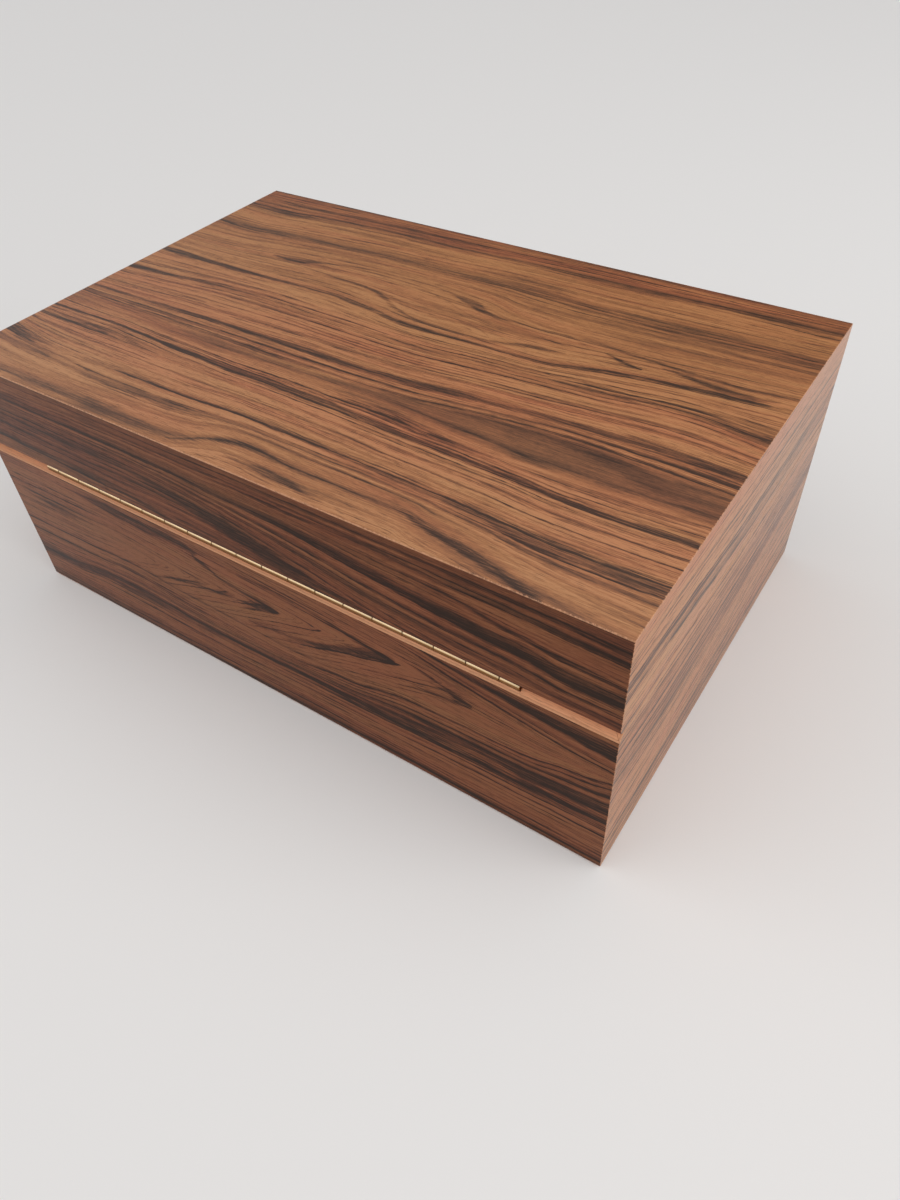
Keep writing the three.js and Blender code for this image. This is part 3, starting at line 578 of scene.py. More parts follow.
top_veins = [
    ("ring", at_level(17.5, (0, 1), (25, 1.2), (60, 0.8), (120, 0.9), (200, 1.3), (280, 1.5),
        (350, 1.5)), 0.85, 2.4),
    ("ring", at_level(42, (0, 2.2), (20, 2.6), (60, 2.0), (100, 1.7), (150, 1.4), (200, 1.8), (280, 1.5),
        (350, 1.2)), 1.02, 3.3),
    ("lie", [(150, 48.5, 0), (165, 49, 0.4), (187, 49.5, 0.5), (212, 51, 0.6), (240, 51.6, 0.6),
        (260, 50.5, 0.5), (300, 47.5, 0.5), (350, 45, 0.5)], 0.64, 1.2),
    ("lie", [(252, 58, 0), (270, 59, 2.4), (300, 60, 2.9), (325, 59, 2.4), (350, 60, 0)], 0.53, 5.2),
    ("lie", [(60, 71.5, 0), (70, 71.8, 1.9), (80, 71.2, 2.6), (88, 68.5, 1.9), (100, 65.5, 1.3),
        (112, 62.6, 1.2), (125, 61.2, 1), (150, 60.8, 0.9), (165, 61.8, 1), (178, 64.3, 1.9),
        (187, 67, 2.9), (196, 70.3, 2.3), (205, 72.3, 1.2), (225, 73.2, 0.9), (243, 73.3, 1.3),
        (252, 75.2, 0.8), (265, 73.4, 1), (285, 74.6, 1.1), (305, 76.4, 1.4), (322, 77, 1.3),
        (338, 75.5, 1.4), (350, 73.8, 1)], 0.82, 2),
    ("lie", [(76, 75.2, 0), (95, 76, 0.7), (115, 77.6, 0.9), (130, 78, 1), (141, 81, 1.5),
        (150, 85.5, 1.7), (158, 89.6, 1.4), (168, 93, 1), (180, 94.6, 0.9), (205, 94.9, 0.8),
        (220, 93.4, 1.3), (230, 90.4, 1.7), (240, 88.6, 1.3), (252, 87.6, 0)], 0.74, 1.7),
    ("lie", [(132, 82, 0), (150, 81.6, 0.7), (172, 82.6, 0.9), (192, 84.6, 0.9), (206, 88.4, 0.7),
        (213, 92, 0)], 0.56, 1.4),
    ("lie", [(96, 71, 0), (120, 68, 0.7), (150, 66.5, 0.8), (170, 69, 0.9), (188, 76, 0.8),
        (205, 81, 0)], 0.5, 1.6),
    ("lie", [(212, 78, 0), (232, 80, 0.8), (255, 83.5, 0)], 0.5, 1.6),
    ("lie", [(105, 70, 0), (125, 70, 4), (150, 72, 7), (175, 78, 7), (200, 84, 6), (222, 84, 3.5),
        (240, 83, 0)], 0.42, 11),
    ("lie", [(170, 88, 0), (182, 87, 0.8), (196, 88.5, 0.8), (203, 91, 0)], 0.55, 1.4),
    ("lie", [(261, 77, 0), (268, 79.6, 0.6), (275, 82, 1.1), (282, 83.4, 0.9), (285, 83.6, 0)], 0.91, 1),
    ("lie", [(260, 87, 0), (268, 85.6, 0.5), (276, 84.4, 0.8), (285, 83.6, 0)], 0.74, 1),
    ("lie", [(288, 77.5, 0), (300, 79.5, 1.1), (312, 81.3, 2), (325, 82.4, 2.3), (336, 82, 1.5),
        (346, 79, 0)], 0.91, 2.1),
    ("ring", at_level(98, (0, 1.8), (20, 2.3), (35, 1.6), (57, 2), (75, 1.4), (120, 1), (150, 1.2),
        (170, 1.3), (200, 1), (240, 0.6), (262, 0.9), (290, 1.3), (310, 1.7), (330, 1.2),
        (345, 0)), 0.98, 1.5),
    ("ring", at_level(114, (0, 2), (60, 1.6), (100, 1.1), (200, 1), (240, 1), (265, 1.3), (290, 1.7),
        (310, 1.5), (330, 2), (350, 2.2)), 0.94, 2.4),
    ("lie", [(238, 108, 0), (262, 106.5, 0.5), (300, 103.5, 0.8), (325, 101, 1),
        (350, 102.5, 0.8)], 0.8, 1.2),
    ("ring", at_level(143, (0, 1.2), (60, 1.3), (120, 1.6), (150, 2.1), (180, 1.9), (220, 2.0),
        (270, 2.3), (320, 2.5), (350, 2.2)), 1.1, 1.8),
    ("ring", at_level(156, (0, 0.4), (200, 0.5), (260, 0.8), (350, 0.6)), 0.74, 1.2),
    ("ring", at_level(172, (0, 1.2), (60, 1.5), (100, 2.1), (150, 2.4), (200, 1.8), (250, 1.4),
        (280, 1.5), (310, 2), (350, 1.7)), 1.1, 1.8),
    ("ring", at_level(201, (0, 2.3), (15, 2), (35, 0.8), (100, 0.6), (160, 0.8), (185, 1.4), (220, 1.5),
        (260, 2.1), (285, 2.7), (310, 3.0), (350, 2.5)), 1.02, 2),
    ("ring", at_level(217, (136, 0), (155, 1.5), (170, 1.7), (200, 1.1), (250, 1.2), (262, 1.6),
        (285, 1.8), (305, 1.9), (318, 0)), 0.86, 2.4),
    ("lie", [(20, 225, 0), (45, 226, 4), (90, 225, 5), (130, 225, 4.5), (152, 220, 0)], 0.66, 8),
    ("lie", [(166, 222.5, 0), (182, 224, 1.8), (192, 224, 2.8), (204, 224.3, 2.2), (214, 226, 1),
        (226, 227, 0)], 0.8, 3.2),
]
top_tone = ([0.92, 0.87, 0.76, 1], [0.92, 0.94, 1, 1])
top_gloss = (0.3, 1)
top_zero = (half_long / mm, -half_deep / mm)
top_finish = veneer_sheet(
    "rosewood on the lid", "XY", top_zero, top_guides, top_depths, top_reds, top_lines, top_marks,
    top_veins, top_tone, top_gloss, seed=3.0,
)

back_guides = [
    (12, [(0, 10), (150, 9), (230, 9), (290, 12), (350, 16)]),
    (20, [(0, 14), (65, 14.8), (130, 14.8), (157, 16.2), (175, 16.9), (193, 17.1), (212, 18.5),
        (230, 20.8), (250, 23.1), (268, 25), (286, 26.9), (305, 27.8), (314, 28.7), (328, 31.5),
        (350, 32.4)]),
    (33, [(0, 21), (83, 22.7), (120, 23.6), (139, 25), (157, 27.3), (175, 30.1), (184, 31.9), (198, 34.7),
        (212, 37), (226, 39.8), (240, 42.6), (258, 45), (290, 48.5), (350, 52)]),
    (50, [(0, 50), (150, 50), (180, 51.5), (230, 54), (257, 56.5), (281, 61), (305, 65.3), (332, 69.9),
        (350, 71.8)]),
    (95, [(0, 103.7), (55, 101.9), (83, 100), (130, 103), (175, 103.7), (193, 102.8), (212, 99.5),
        (229, 96.8), (240, 93.5), (254, 90.3), (268, 89.4), (305, 87.5), (318, 86.1), (328, 83.3),
        (342, 80.6), (350, 77.8)]),
    (113, [(0, 118.5), (28, 117.6), (42, 115), (55, 112.5), (80, 112), (140, 113.5), (175, 112),
        (203, 110.5), (230, 110), (258, 108), (290, 106.5), (350, 104)]),
    (132, [(0, 133), (350, 130)]),
    (150, [(0, 150), (350, 150)]),
]
back_depths = [
    (0, 0.59, 0.77), (4, 0.44, 0.63), (8, 0.3, 0.66), (12, 0.51, 0.56), (16, 0.66, 0.34), (20, 0.8, 0.92),
    (23, 0.44, 0.27), (28, 0.51, 0.34), (33, 0.76, 0.4), (38, 0.62, 0.4), (44, 0.44, 0.42),
    (50, 0.31, 0.4), (56, 0.28, 0.25), (70, 0.21, 0.18), (84, 0.25, 0.18), (95, 0.31, 0.4),
    (99, 0.28, 0.63), (106, 0.35, 0.66), (110, 0.57, 0.54), (113, 0.75, 0.54), (117, 0.5, 0.4),
    (121, 0.28, 0.28), (128, 0.35, 0.25), (133, 0.57, 0.47), (137, 0.72, 0.72), (150, 0.79, 0.83),
]
back_reds = [(0, 0.8), (60, 0.85), (90, 0.75), (100, 0.8), (150, 0.9)]
back_lines = [(0, 1.15), (48, 1.1), (56, 1.5), (150, 1.65)]
back_marks = [
    (5, 0.4, 0.6), (9, 0.3, 0.5), (15, 0.3, 0.3), (24.5, 0.3, 0.4), (28, 0.3, 0.5), (38, 0.4, 0.5),
    (43, 0.4, 0.4), (47, 0.3, 0.3), (56, 0.3, 0.2), (62, 0.3, 0.1), (88, 0.3, 0.1), (101, 0.3, 0.5),
    (105, 0.3, 0.4), (109, 0.3, 0.3), (117, 0.5, 0.5), (122, 0.3, 0.35), (127, 0.4, 0.5),
    (130.5, 0.3, 0.4),
]
# The back's veneer is made about half as bright as the other faces: partly its own darker wood, partly
# painted shade.
back_tone_with_painted_shade = ([0.46, 0.45, 0.43, 1], [0.46, 0.44, 0.41, 1])
back_veins = [
    ("ring", at_level(20, (0, 1.4), (130, 1.7), (175, 1.1), (230, 1.2), (260, 2.1), (310, 2.3),
        (350, 2.3)), 1.28, 2.6),
    ("lie", [(235, 13.4, 0), (258, 14.4, 1), (272, 15.3, 1.4), (286, 17.6, 1.6), (300, 19.9, 1.6),
        (314, 21.8, 1.7), (328, 23.1, 1.7), (350, 24.5, 1.7)], 1.21, 2.6),
    ("lie", [(170, 10, 0), (230, 7, 1.9), (265, 7.5, 2.5), (290, 10, 0)], 1, 4),
    ("lie", [(290, 4, 0), (320, 6, 1.2), (350, 9, 1.7)], 1.14, 2.6),
    ("lie", [(10, 24.5, 2.8), (60, 25, 3.3), (100, 25, 3.3), (120, 26.5, 2.8), (140, 29.5, 4.2),
        (165, 34, 5.8), (185, 39, 6.4), (210, 43.5, 5.6), (235, 47, 4), (270, 52, 0)], 1.08, 5),
    ("lie", [(80, 38.8, 0), (100, 41, 1.4), (115, 43, 2.3), (128, 45.5, 2.1), (146, 48, 0)], 0.89, 4),
    ("lie", [(50, 57, 0), (62, 57.5, 1.6), (75, 58, 3), (100, 58.5, 3.7), (122, 58.8, 3.8),
        (134, 59.5, 3.1), (142, 61, 0)], 1.01, 3.2),
    ("lie", [(136, 61, 0), (140, 64, 1.7), (146, 66, 1.2), (152, 69.5, 0.8), (165, 71.6, 0.7),
        (178, 73, 1.4), (187, 74.3, 0)], 1.14, 1.6),
    ("lie", [(104, 90, 0), (120, 86.6, 0.8), (139, 82.4, 0.8), (157, 79.6, 0.8), (168, 78.2, 1.4),
        (178, 76, 2.3), (188, 74.3, 0)], 1.18, 1.6),
    ("lie", [(160, 60, 0), (175, 60.2, 0.7), (193, 60.6, 0.8), (207, 62, 0.9), (221, 64, 1.1),
        (235, 67.1, 2), (243, 68.3, 2.2), (252, 68.2, 0)], 1.11, 2.2),
    ("lie", [(160, 91.5, 0), (175, 89.8, 0.9), (189, 88, 1.1), (203, 84.7, 1.7), (212, 81.9, 2.5),
        (223, 76.9, 3.3), (234, 72.2, 3.4), (243, 69.6, 2.3), (252, 68.2, 0)], 1.15, 3),
    ("lie", [(248, 63, 0), (262, 65.3, 0.6), (275, 68.5, 0.9), (283, 71.8, 2.5), (289, 73, 0)], 1.07, 1.9),
    ("lie", [(252, 78, 0), (265, 77, 0.6), (277, 75.6, 1), (284, 73.4, 2.1), (289, 73, 0)], 1, 1.9),
    ("lie", [(5, 76, 0), (22, 76.3, 1.7), (35, 76.6, 2.8), (48, 76.6, 1.7), (66, 76.8, 0)], 0.95, 4),
    ("lie", [(276, 54, 0), (290, 55.5, 1.2), (304, 57.2, 2.8), (320, 58.5, 4.1), (350, 60, 5.2)], 1.17, 3),
    ("lie", [(254, 56, 0), (268, 58.3, 0.5), (281, 61.1, 0.6), (291, 62.5, 0.6), (305, 65.3, 0.6),
        (318, 67.6, 0.6), (332, 69.9, 0.6), (350, 71.8, 0.6)], 1.14, 1.1),
    ("ring", at_level(95, (0, 0.8), (60, 1), (120, 0.8), (175, 0.5), (212, 0.6), (240, 0.7), (300, 0.6),
        (325, 1), (350, 1.3)), 1.19, 1.3),
    ("lie", [(225, 103, 0), (240, 101, 1.2), (256, 99.5, 2.8), (275, 99.5, 4.2), (300, 99.5, 4.9),
        (330, 98.5, 4.6), (350, 97, 3.9)], 1.06, 4.2),
    ("ring", at_level(113, (0, 3.8), (60, 3.6), (150, 3.4), (200, 3.2), (240, 2.8), (270, 1.3),
        (350, 0.8)), 1.15, 4),
    ("lie", [(250, 116, 0), (290, 113.5, 0.5), (320, 111.5, 0.6), (350, 110.5, 0.7)], 1.14, 1.3),
    ("lie", [(175, 126, 0), (240, 124.2, 0.5), (290, 122, 0.5), (350, 118, 0.6)], 0.85, 1.3),
]
back_arches = ([(0.15, 0), (0.3, 1), (0.74, 1), (0.84, 0)], [(0.5, 0), (0.56, 1), (0.84, 1), (0.92, 0)])
back_gloss = (0.1, 1)
side_zero = (half_long / mm, box_top / mm)
back_finish = veneer_sheet(
    "rosewood on the back", "XZ", side_zero, back_guides, back_depths, back_reds, back_lines, back_marks,
    back_veins, back_tone_with_painted_shade, back_gloss, seed=11.0, arches=back_arches,
)

left_guides = [
    (30, [(0, 27), (60, 31), (120, 37), (230, 40)]),
    (66, [(0, 62), (60, 66), (120, 68), (230, 70)]),
    (90, [(0, 82), (60, 88), (120, 88), (230, 84)]),
    (112, [(0, 112), (230, 110)]),
    (150, [(0, 150), (230, 150)]),
]
end_depths = [
    (0, 0.2, 0.2), (10, 0.29, 0.29), (22, 0.29, 0.37), (26, 0.82, 0.82), (33, 0.82, 0.82),
    (37, 0.03, 0.2), (50, 0.02, 0.03), (56, 0.29, 0.2), (62, 0.82, 0.8), (68, 0.66, 0.82),
    (74, 0.75, 0.82), (80, 0.62, 0.82), (88, 0.82, 0.82), (96, 0.66, 0.5), (101, 0.05, 0.2),
    (112, 0.04, 0.2), (120, 0.1, 0.3), (127, 0.66, 0.66), (150, 0.7, 0.82),
]
end_reds = [(0, 0.5), (40, 0.2), (70, 0.4), (150, 0.4)]
end_lines = [(0, 2.8), (150, 2.8)]
end_tone = ([0.92, 0.95, 1.04, 1], [0.86, 0.93, 1.04, 1])
end_marks = [
    (5, 0.48, 0.32), (9, 0.48, 0.48), (14, 0.56, 0.32), (19, 0.48, 0.48), (42, 0.56, 0.48),
    (47, 0.48, 0.32), (52, 0.64, 0.48), (75, 0.48, 0.48), (83, 0.48, 0.48), (99, 0.48, 0.32),
    (105, 0.64, 0.48), (110, 0.48, 0.48), (117, 0.56, 0.48), (122, 0.64, 0.48),
]
end_veins = [
    ("ring", at_level(30, (0, 3.4), (60, 3.2), (230, 3.6)), 0.84, 3.5),
    ("ring", at_level(66, (0, 2.6), (40, 4.0), (120, 4.6), (230, 5.0)), 0.84, 5.0),
    ("ring", at_level(78, (0, 1.4), (40, 3.0), (90, 3.6), (160, 3.0), (230, 2.0)), 0.84, 4.0),
    ("ring", at_level(90, (0, 3.4), (60, 4.2), (140, 2.8), (230, 2.2)), 0.84, 4.0),
    ("ring", at_level(128, (0, 1.4), (60, 2.2), (230, 2.6)), 0.84, 3.0),
]
end_gloss = (0.28, 0.9)
end_zero = (half_deep / mm, box_top / mm)
end_figure = (end_depths, end_reds, end_lines, end_marks, end_veins, end_tone, end_gloss)
left_finish = veneer_sheet("rosewood on the left end", "YZ", end_zero, left_guides, *end_figure, seed=23.0)
right_guides = [
    (24, [(0, 20), (80, 28), (150, 24), (230, 18)]),
    (60, [(0, 52), (80, 66), (150, 60), (230, 50)]),
    (86, [(0, 82), (80, 80), (150, 84), (230, 92)]),
    (112, [(0, 116), (120, 104), (230, 110)]),
    (150, [(0, 150), (230, 150)]),
]
right_finish = veneer_sheet(
    "rosewood on the right end", "YZ", end_zero, right_guides, *end_figure, seed=37.0
)
front_guides = [
    (20, [(0, 14), (90, 18), (180, 24), (260, 20), (350, 12)]),
    (46, [(0, 40), (90, 46), (180, 55), (260, 48), (350, 36)]),
    (70, [(0, 66), (120, 66), (200, 70), (350, 64)]),
    (100, [(0, 96), (90, 90), (180, 84), (260, 92), (350, 100)]),
    (124, [(0, 122), (120, 116), (220, 114), (350, 124)]),
    (150, [(0, 150), (350, 150)]),
]
front_depths = [
    (0, 0.4, 0.45), (12, 0.3, 0.3), (18, 0.5, 0.5), (24, 0.25, 0.3), (40, 0.2, 0.3), (46, 0.5, 0.5),
    (52, 0.2, 0.25), (66, 0.3, 0.2), (70, 0.5, 0.45), (75, 0.25, 0.2), (94, 0.2, 0.3), (100, 0.55, 0.5),
    (106, 0.3, 0.3), (120, 0.2, 0.2), (124, 0.5, 0.55), (129, 0.3, 0.35), (150, 0.5, 0.5),
]
front_lines = [(0, 1.2), (60, 0.8), (100, 1.2), (150, 1.2)]
front_marks = [
    (6, 0.3, 0.2), (10, 0.25, 0.35), (15, 0.35, 0.2), (28, 0.3, 0.3), (34, 0.25, 0.4), (52, 0.4, 0.3),
    (58, 0.25, 0.2), (77, 0.3, 0.35), (83, 0.35, 0.25), (90, 0.35, 0.2), (106, 0.4, 0.3), (112, 0.3, 0.3),
    (118, 0.35, 0.4), (131, 0.4, 0.3),
]
front_veins = [
    ("ring", at_level(20, (0, 1.2), (120, 1.8), (240, 1.0), (350, 1.6)), 0.85, 1.4),
    ("ring", at_level(46, (0, 1.8), (90, 1.2), (200, 2.2), (350, 1.4)), 0.9, 1.4),
    ("ring", at_level(70, (0, 1.0), (80, 1.6), (120, 0.6), (220, 1.4), (350, 0.8)), 0.85, 1.0),
    ("ring", at_level(100, (0, 2.0), (120, 1.2), (260, 2.4), (350, 1.6)), 0.92, 1.4),
    ("ring", at_level(124, (0, 1.4), (180, 2.0), (350, 1.2)), 0.85, 1.4),
    ("lie", [(120, 60, 0), (150, 61, 1.6), (190, 63, 2.4), (225, 62, 1.4), (240, 60, 0)], 0.8, 1.4),
    ("lie", [(70, 78, 0), (120, 77, 1.0), (170, 79, 1.8), (210, 78, 1.0), (250, 75, 0)], 0.8, 1.4),
]
front_finish = veneer_sheet(
    "rosewood on the front", "XZ", side_zero, front_guides, front_depths, top_reds, front_lines,
    front_marks, front_veins, top_tone, top_gloss, seed=51.0,
)


hair = 0.01 * mm


def round_off(width, steps):
    """Rounds the picked edges, or those of the picked faces."""
    bpy.ops.mesh.bevel(offset=width, segments=steps, affect="EDGES")


def pick(kind, test):
    """Selects the vertices, edges or faces of the piece in edit mode that pass a test."""
    bpy.ops.mesh.select_mode(type={"verts": "VERT", "edges": "EDGE", "faces": "FACE"}[kind])
    bpy.ops.mesh.select_all(action="DESELECT")
    piece = bmesh.from_edit_mesh(bpy.context.object.data)
    for item in getattr(piece, kind):
        if test(item):
            item.select_set(True)
    bmesh.update_edit_mesh(bpy.context.object.data)


def upright(edge):
    """True for an edge that runs straight up."""
    run = edge.verts[1].co - edge.verts[0].co
    return abs(run.z) > 0.99 * run.length


def begin(name):
    """Names the object just added, puts its place into its mesh and goes to edit mode."""
    made = bpy.context.object
    made.name = made.data.name = name
    bpy.ops.object.transform_apply(location=True, rotation=True, scale=True)
    bpy.ops.object.mode_set(mode="EDIT")
    return made


def add_block(name, low, high):
    """Starts a piece from a block between two corners, in edit mode."""
    unpick()
    middle = [(a + b) / 2 for a, b in zip(low, high)]
    bpy.ops.mesh.primitive_cube_add(size=1, location=middle)
    bpy.context.object.scale = [b - a for a, b in zip(low, high)]
    return begin(name)


def hold(*pieces):
    """Selects some pieces, with the first of them as the active one."""
    unpick()
    for piece in pieces:
        piece.select_set(True)
    bpy.context.view_layer.objects.active = pieces[0]


def leave(piece, material, body, slot, *nodes, smooth=30):
    """Leaves edit mode, shades the piece, gives it its material and body, and hides the nodes it stands
    for.
    """
    bpy.ops.object.mode_set(mode="OBJECT")
    hold(piece)
    bpy.ops.object.shade_smooth_by_angle(angle=math.radians(smooth))
    piece.data.materials.clear()
    piece.data.materials.append(material)
    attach(piece, body)
    if nodes:
        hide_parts(*nodes)
    return piece


def apply_modifier(piece, kind, **settings):
    """Adds a modifier to a piece and applies it."""
    made = piece.modifiers.new(kind.lower(), kind)
    for name, value in settings.items():
        setattr(made, name, value)
    bpy.ops.object.modifier_apply(modifier=made.name)


def cover_wall(part, side, faces, low, high, finish):
    """One sheet of veneer on one wall: its side and half of each eased arris beside it."""
    corners = (-half_long, -half_deep, low), (half_long, half_deep, high)
    piece = add_block(part + "_" + side + "_sheet", *corners)
    pick("edges", upright)
    round_off(veneer_ease, veneer_ease_steps)
    pick("faces", lambda face: face.normal.dot(Vector(faces)) < math.cos(math.radians(45)))
    bpy.ops.mesh.delete(type="FACE")
    rim, way = (base_rim, 1) if part == "base" else (lid_rim, -1)
    bpy.ops.mesh.select_all(action="SELECT")
    bevel_foot = (0, half_deep, rim - way * bevel_in)
    bpy.ops.mesh.bisect(plane_co=bevel_foot, plane_no=(0, 1, way), clear_outer=True)
    bpy.ops.object.mode_set(mode="OBJECT")
    apply_modifier(piece, "SOLIDIFY", thickness=veneer_thick, offset=-1, use_even_offset=True)
    bpy.ops.object.mode_set(mode="EDIT")
    if side == "back":
        inner = half_deep - veneer_thick
        edge = rim - way * bevel_in
        pick("verts", lambda v: abs(v.co.y - inner) < 5 * hair and abs(v.co.z - edge) < 10 * hair)
        bpy.ops.transform.translate(value=(0, 0, way * veneer_thick))
    bpy.ops.mesh.select_all(action="SELECT")
    bpy.ops.mesh.normals_make_consistent(inside=False)
    leave(piece, finish, part, "veneer", part + "_" + side + "_veneer")


for part, low, high in (("base", veneer_foot, base_rim), ("lid", lid_rim, lid_skin_top)):
    cover_wall(part, "front", (0, -1, 0), low, high, front_finish)
    cover_wall(part, "back", (0, 1, 0), low, high, back_finish)
    cover_wall(part, "left", (-1, 0, 0), low, high, left_finish)
    cover_wall(part, "right", (1, 0, 0), low, high, right_finish)

corners = (-half_long, -half_deep, lid_skin_top), (half_long, half_deep, box_top)
top_sheet = add_block("lid_top_sheet", *corners)
pick("edges", lambda edge: upright(edge) or min(v.co.z for v in edge.verts) > lid_skin_top + hair)
round_off(veneer_ease, veneer_ease_steps)
leave(top_sheet, top_finish, "lid", "veneer", "lid_top_veneer")


# Felt under the base. One thin sheet of dark brown felt, glued on and cut short of the edges all round.
# Its cut edge is a little soft and its face is matted.
felt_finish, tree, shader = finish_for("dark felt", Roughness=1.0, Sheen_Weight=0.4, Sheen_Roughness=0.6)
place = in_millimetres(tree)
matted = grained(*place, (1.4, 1.4, 1.4), 4, 0.7)
felt_colour = mixed(ramp(matted, [(0.3, 0), (0.7, 1)]), paint(44, 36, 32), paint(74, 62, 54))
coat(shader, felt_colour, relief=(matted, 0.6, 0.3 * mm))
felt_inset = 4 * mm
felt_thick = 1 * mm
felt_corner = 1.5 * mm
felt_edge = 0.25 * mm
felt = add_block(
    "felt_sheet",
    (felt_inset - half_long, felt_inset - half_deep, 0),
    (half_long - felt_inset, half_deep - felt_inset, felt_thick),
)
pick("edges", upright)
round_off(felt_corner, 5)
pick("edges", lambda edge: not upright(edge))
round_off(felt_edge, 2)
leave(felt, felt_finish, "base", "felt", "base_felt")


# Cedar lining, cleats, tray and dividers. Planed boards of bare cedar: the lining stands proud of the base
# as a lip, and the tray's boards are finger jointed. Every edge is lightly rounded with abrasive paper.
cedar_pale = paint(206, 160, 122)
cedar_deep = paint(176, 122, 88)
cedar_pore = 0.15
cedar_ease = 0.3 * mm
cedar_long = bare_board("cedar along", "XZY", cedar_pale, cedar_deep, cedar_pore)
cedar_short = bare_board("cedar across", "YZX", cedar_pale, cedar_deep, cedar_pore)
cedar_flat = bare_board("cedar flat", "XYZ", cedar_pale, cedar_deep, cedar_pore)


def ease(names, width, steps=2):
    """Rounds the edges of CAD boards with live modifiers, which leave their meshes as they are."""
    for name in names:
        weld = cad[name].modifiers.new("weld", "WELD")
        weld.merge_threshold = 0.005 * mm
        rounding = cad[name].modifiers.new("rounding", "BEVEL")
        rounding.width = width
        rounding.segments = steps
        rounding.limit_method = "ANGLE"
        rounding.angle_limit = math.radians(35)


long_boards = ["base_lining_front", "base_lining_back", "lid_lining_front", "lid_lining_back"]
long_boards += ["tray_front", "tray_back"]
short_boards = ["base_lining_left", "base_lining_right", "lid_lining_left", "lid_lining_right"]
short_boards += ["tray_left", "tray_right", "tray_cleat_left", "tray_cleat_right"]
short_boards += ["tray_divider", "base_divider"]
flat_boards = ["base_lining_floor", "lid_lining_top", "tray_floor"]
dress(long_boards, cedar_long)
dress(short_boards, cedar_short)
dress(flat_boards, cedar_flat)
ease(long_boards + short_boards + flat_boards, cedar_ease)


# Hinge. Two long brass leaves let into the rims, each with every second knuckle of the barrel rolled from
# it, turning on one brass pin. The barrel lies in the bevelled groove, flush with the back.
leaf_low, leaf_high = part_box("hinge_base_leaf")
pin_low, pin_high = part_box("hinge_pin")
barrel_radius = (leaf_high.z - leaf_low.z) / 2
pin_radius = (pin_high.z - pin_low.z) / 2
bore_radius = pin_radius + 0.2 * mm
pin_y = leaf_high.y - barrel_radius
pin_z = (leaf_low.z + leaf_high.z) / 2
hinge_half = leaf_high.x
leaf_reach = pin_y - leaf_low.y
leaf_clear = barrel_radius + 0.3 * mm
knuckle_pitch = 14.75 * mm
full_knuckles = 17
knuckle_gap = 0.3 * mm
leaf_thick = 0.9 * mm
rim_gap = 0.15 * mm
leaf_corner = 0.6 * mm
knuckle_edge = 0.2 * mm
tongue_lap = 0.4 * mm
tongue_into_share = 0.75
pin_edge = 0.3 * mm
barrel_sides = 40

brass_wear, start, end = effect("handled brass", "Along Across Through", "Color Roughness Height")
place = start[:3]
drawn = grained(*place, (0.05, 6.0, 6.0), 2, 0.6)
cloudy = grained(*place, (0.12, 0.12, 0.12), 4, 0.65)
tarnish = ramp(cloudy, [(0.35, 0), (0.75, 1)])
brass_colour = mixed(tarnish, [1.0, 0.76, 0.47, 1], [0.96, 0.68, 0.39, 1])
brass_wear.links.new(brass_colour, end["Color"])
roughened = times_plus(tarnish, 0.12, 0.14)
brass_wear.links.new(times_plus(drawn, 0.06, roughened), end["Roughness"])
brass_wear.links.new(drawn, end["Height"])

hinge_brass, tree, shader = finish_for("brass of the hinge", Metallic=1.0)
place = in_millimetres(tree)
metal = use(tree, brass_wear, {"Along": place["X"], "Across": place["Y"], "Through": place["Z"]})
# Painted shade: the brass turns dark orange-brown on the lower back of the barrel, where it lies in the
# groove, and at the seams between the knuckles. It is made rougher there too.
below = maths("DIVIDE", less(pin_z / mm, place["Z"]), barrel_radius / mm)
behind = maths("DIVIDE", less(place["Y"], pin_y / mm), barrel_radius / mm)
painted_groove_shade = ramp(maths("ADD", below, 0.5), [(0.08, 0), (0.27, 1)])
painted_groove_shade = times(painted_groove_shade, ramp(behind, [(0.2, 0), (0.4, 1)]))
joint = maths("ADD", place["X"], full_knuckles * knuckle_pitch / 2 / mm)
joint = maths("PINGPONG", joint, knuckle_pitch / 2 / mm)
painted_shade = times(painted_groove_shade, 0.94)
painted_shade = maths("MAXIMUM", painted_shade, ramp(joint, [(0.15, 0.7), (0.4, 0)]))
brass_with_painted_shade = mixed(painted_shade, metal["Color"], [0.27, 0.12, 0.03, 1])
rough = times_plus(painted_shade, 0.3, metal["Roughness"])
coat(shader, brass_with_painted_shade, rough, (metal["Height"], 0.1, 0.02 * mm))


def add_rod(name, radius, start, stop, sides=barrel_sides):
    """Starts a piece from a round rod on the hinge's axis, in edit mode."""
    unpick()
    bpy.ops.mesh.primitive_cylinder_add(
        vertices=sides, radius=radius, depth=stop - start,
        location=((start + stop) / 2, pin_y, pin_z), rotation=(0, math.pi / 2, 0),
    )
    return begin(name)


def on_end(face):
    """True for a round flat end of a rod."""
    return abs(face.normal.x) > 0.99 and len(face.verts) > 8


def on_rim(edge):
    """True for an edge that runs round the end of a knuckle at its full radius."""
    off = [(v.co.yz - Vector((pin_y, pin_z))).length - barrel_radius for v in edge.verts]
    run = edge.verts[0].co.x - edge.verts[1].co.x
    return max(abs(value) for value in off) < hair and abs(run) < hair


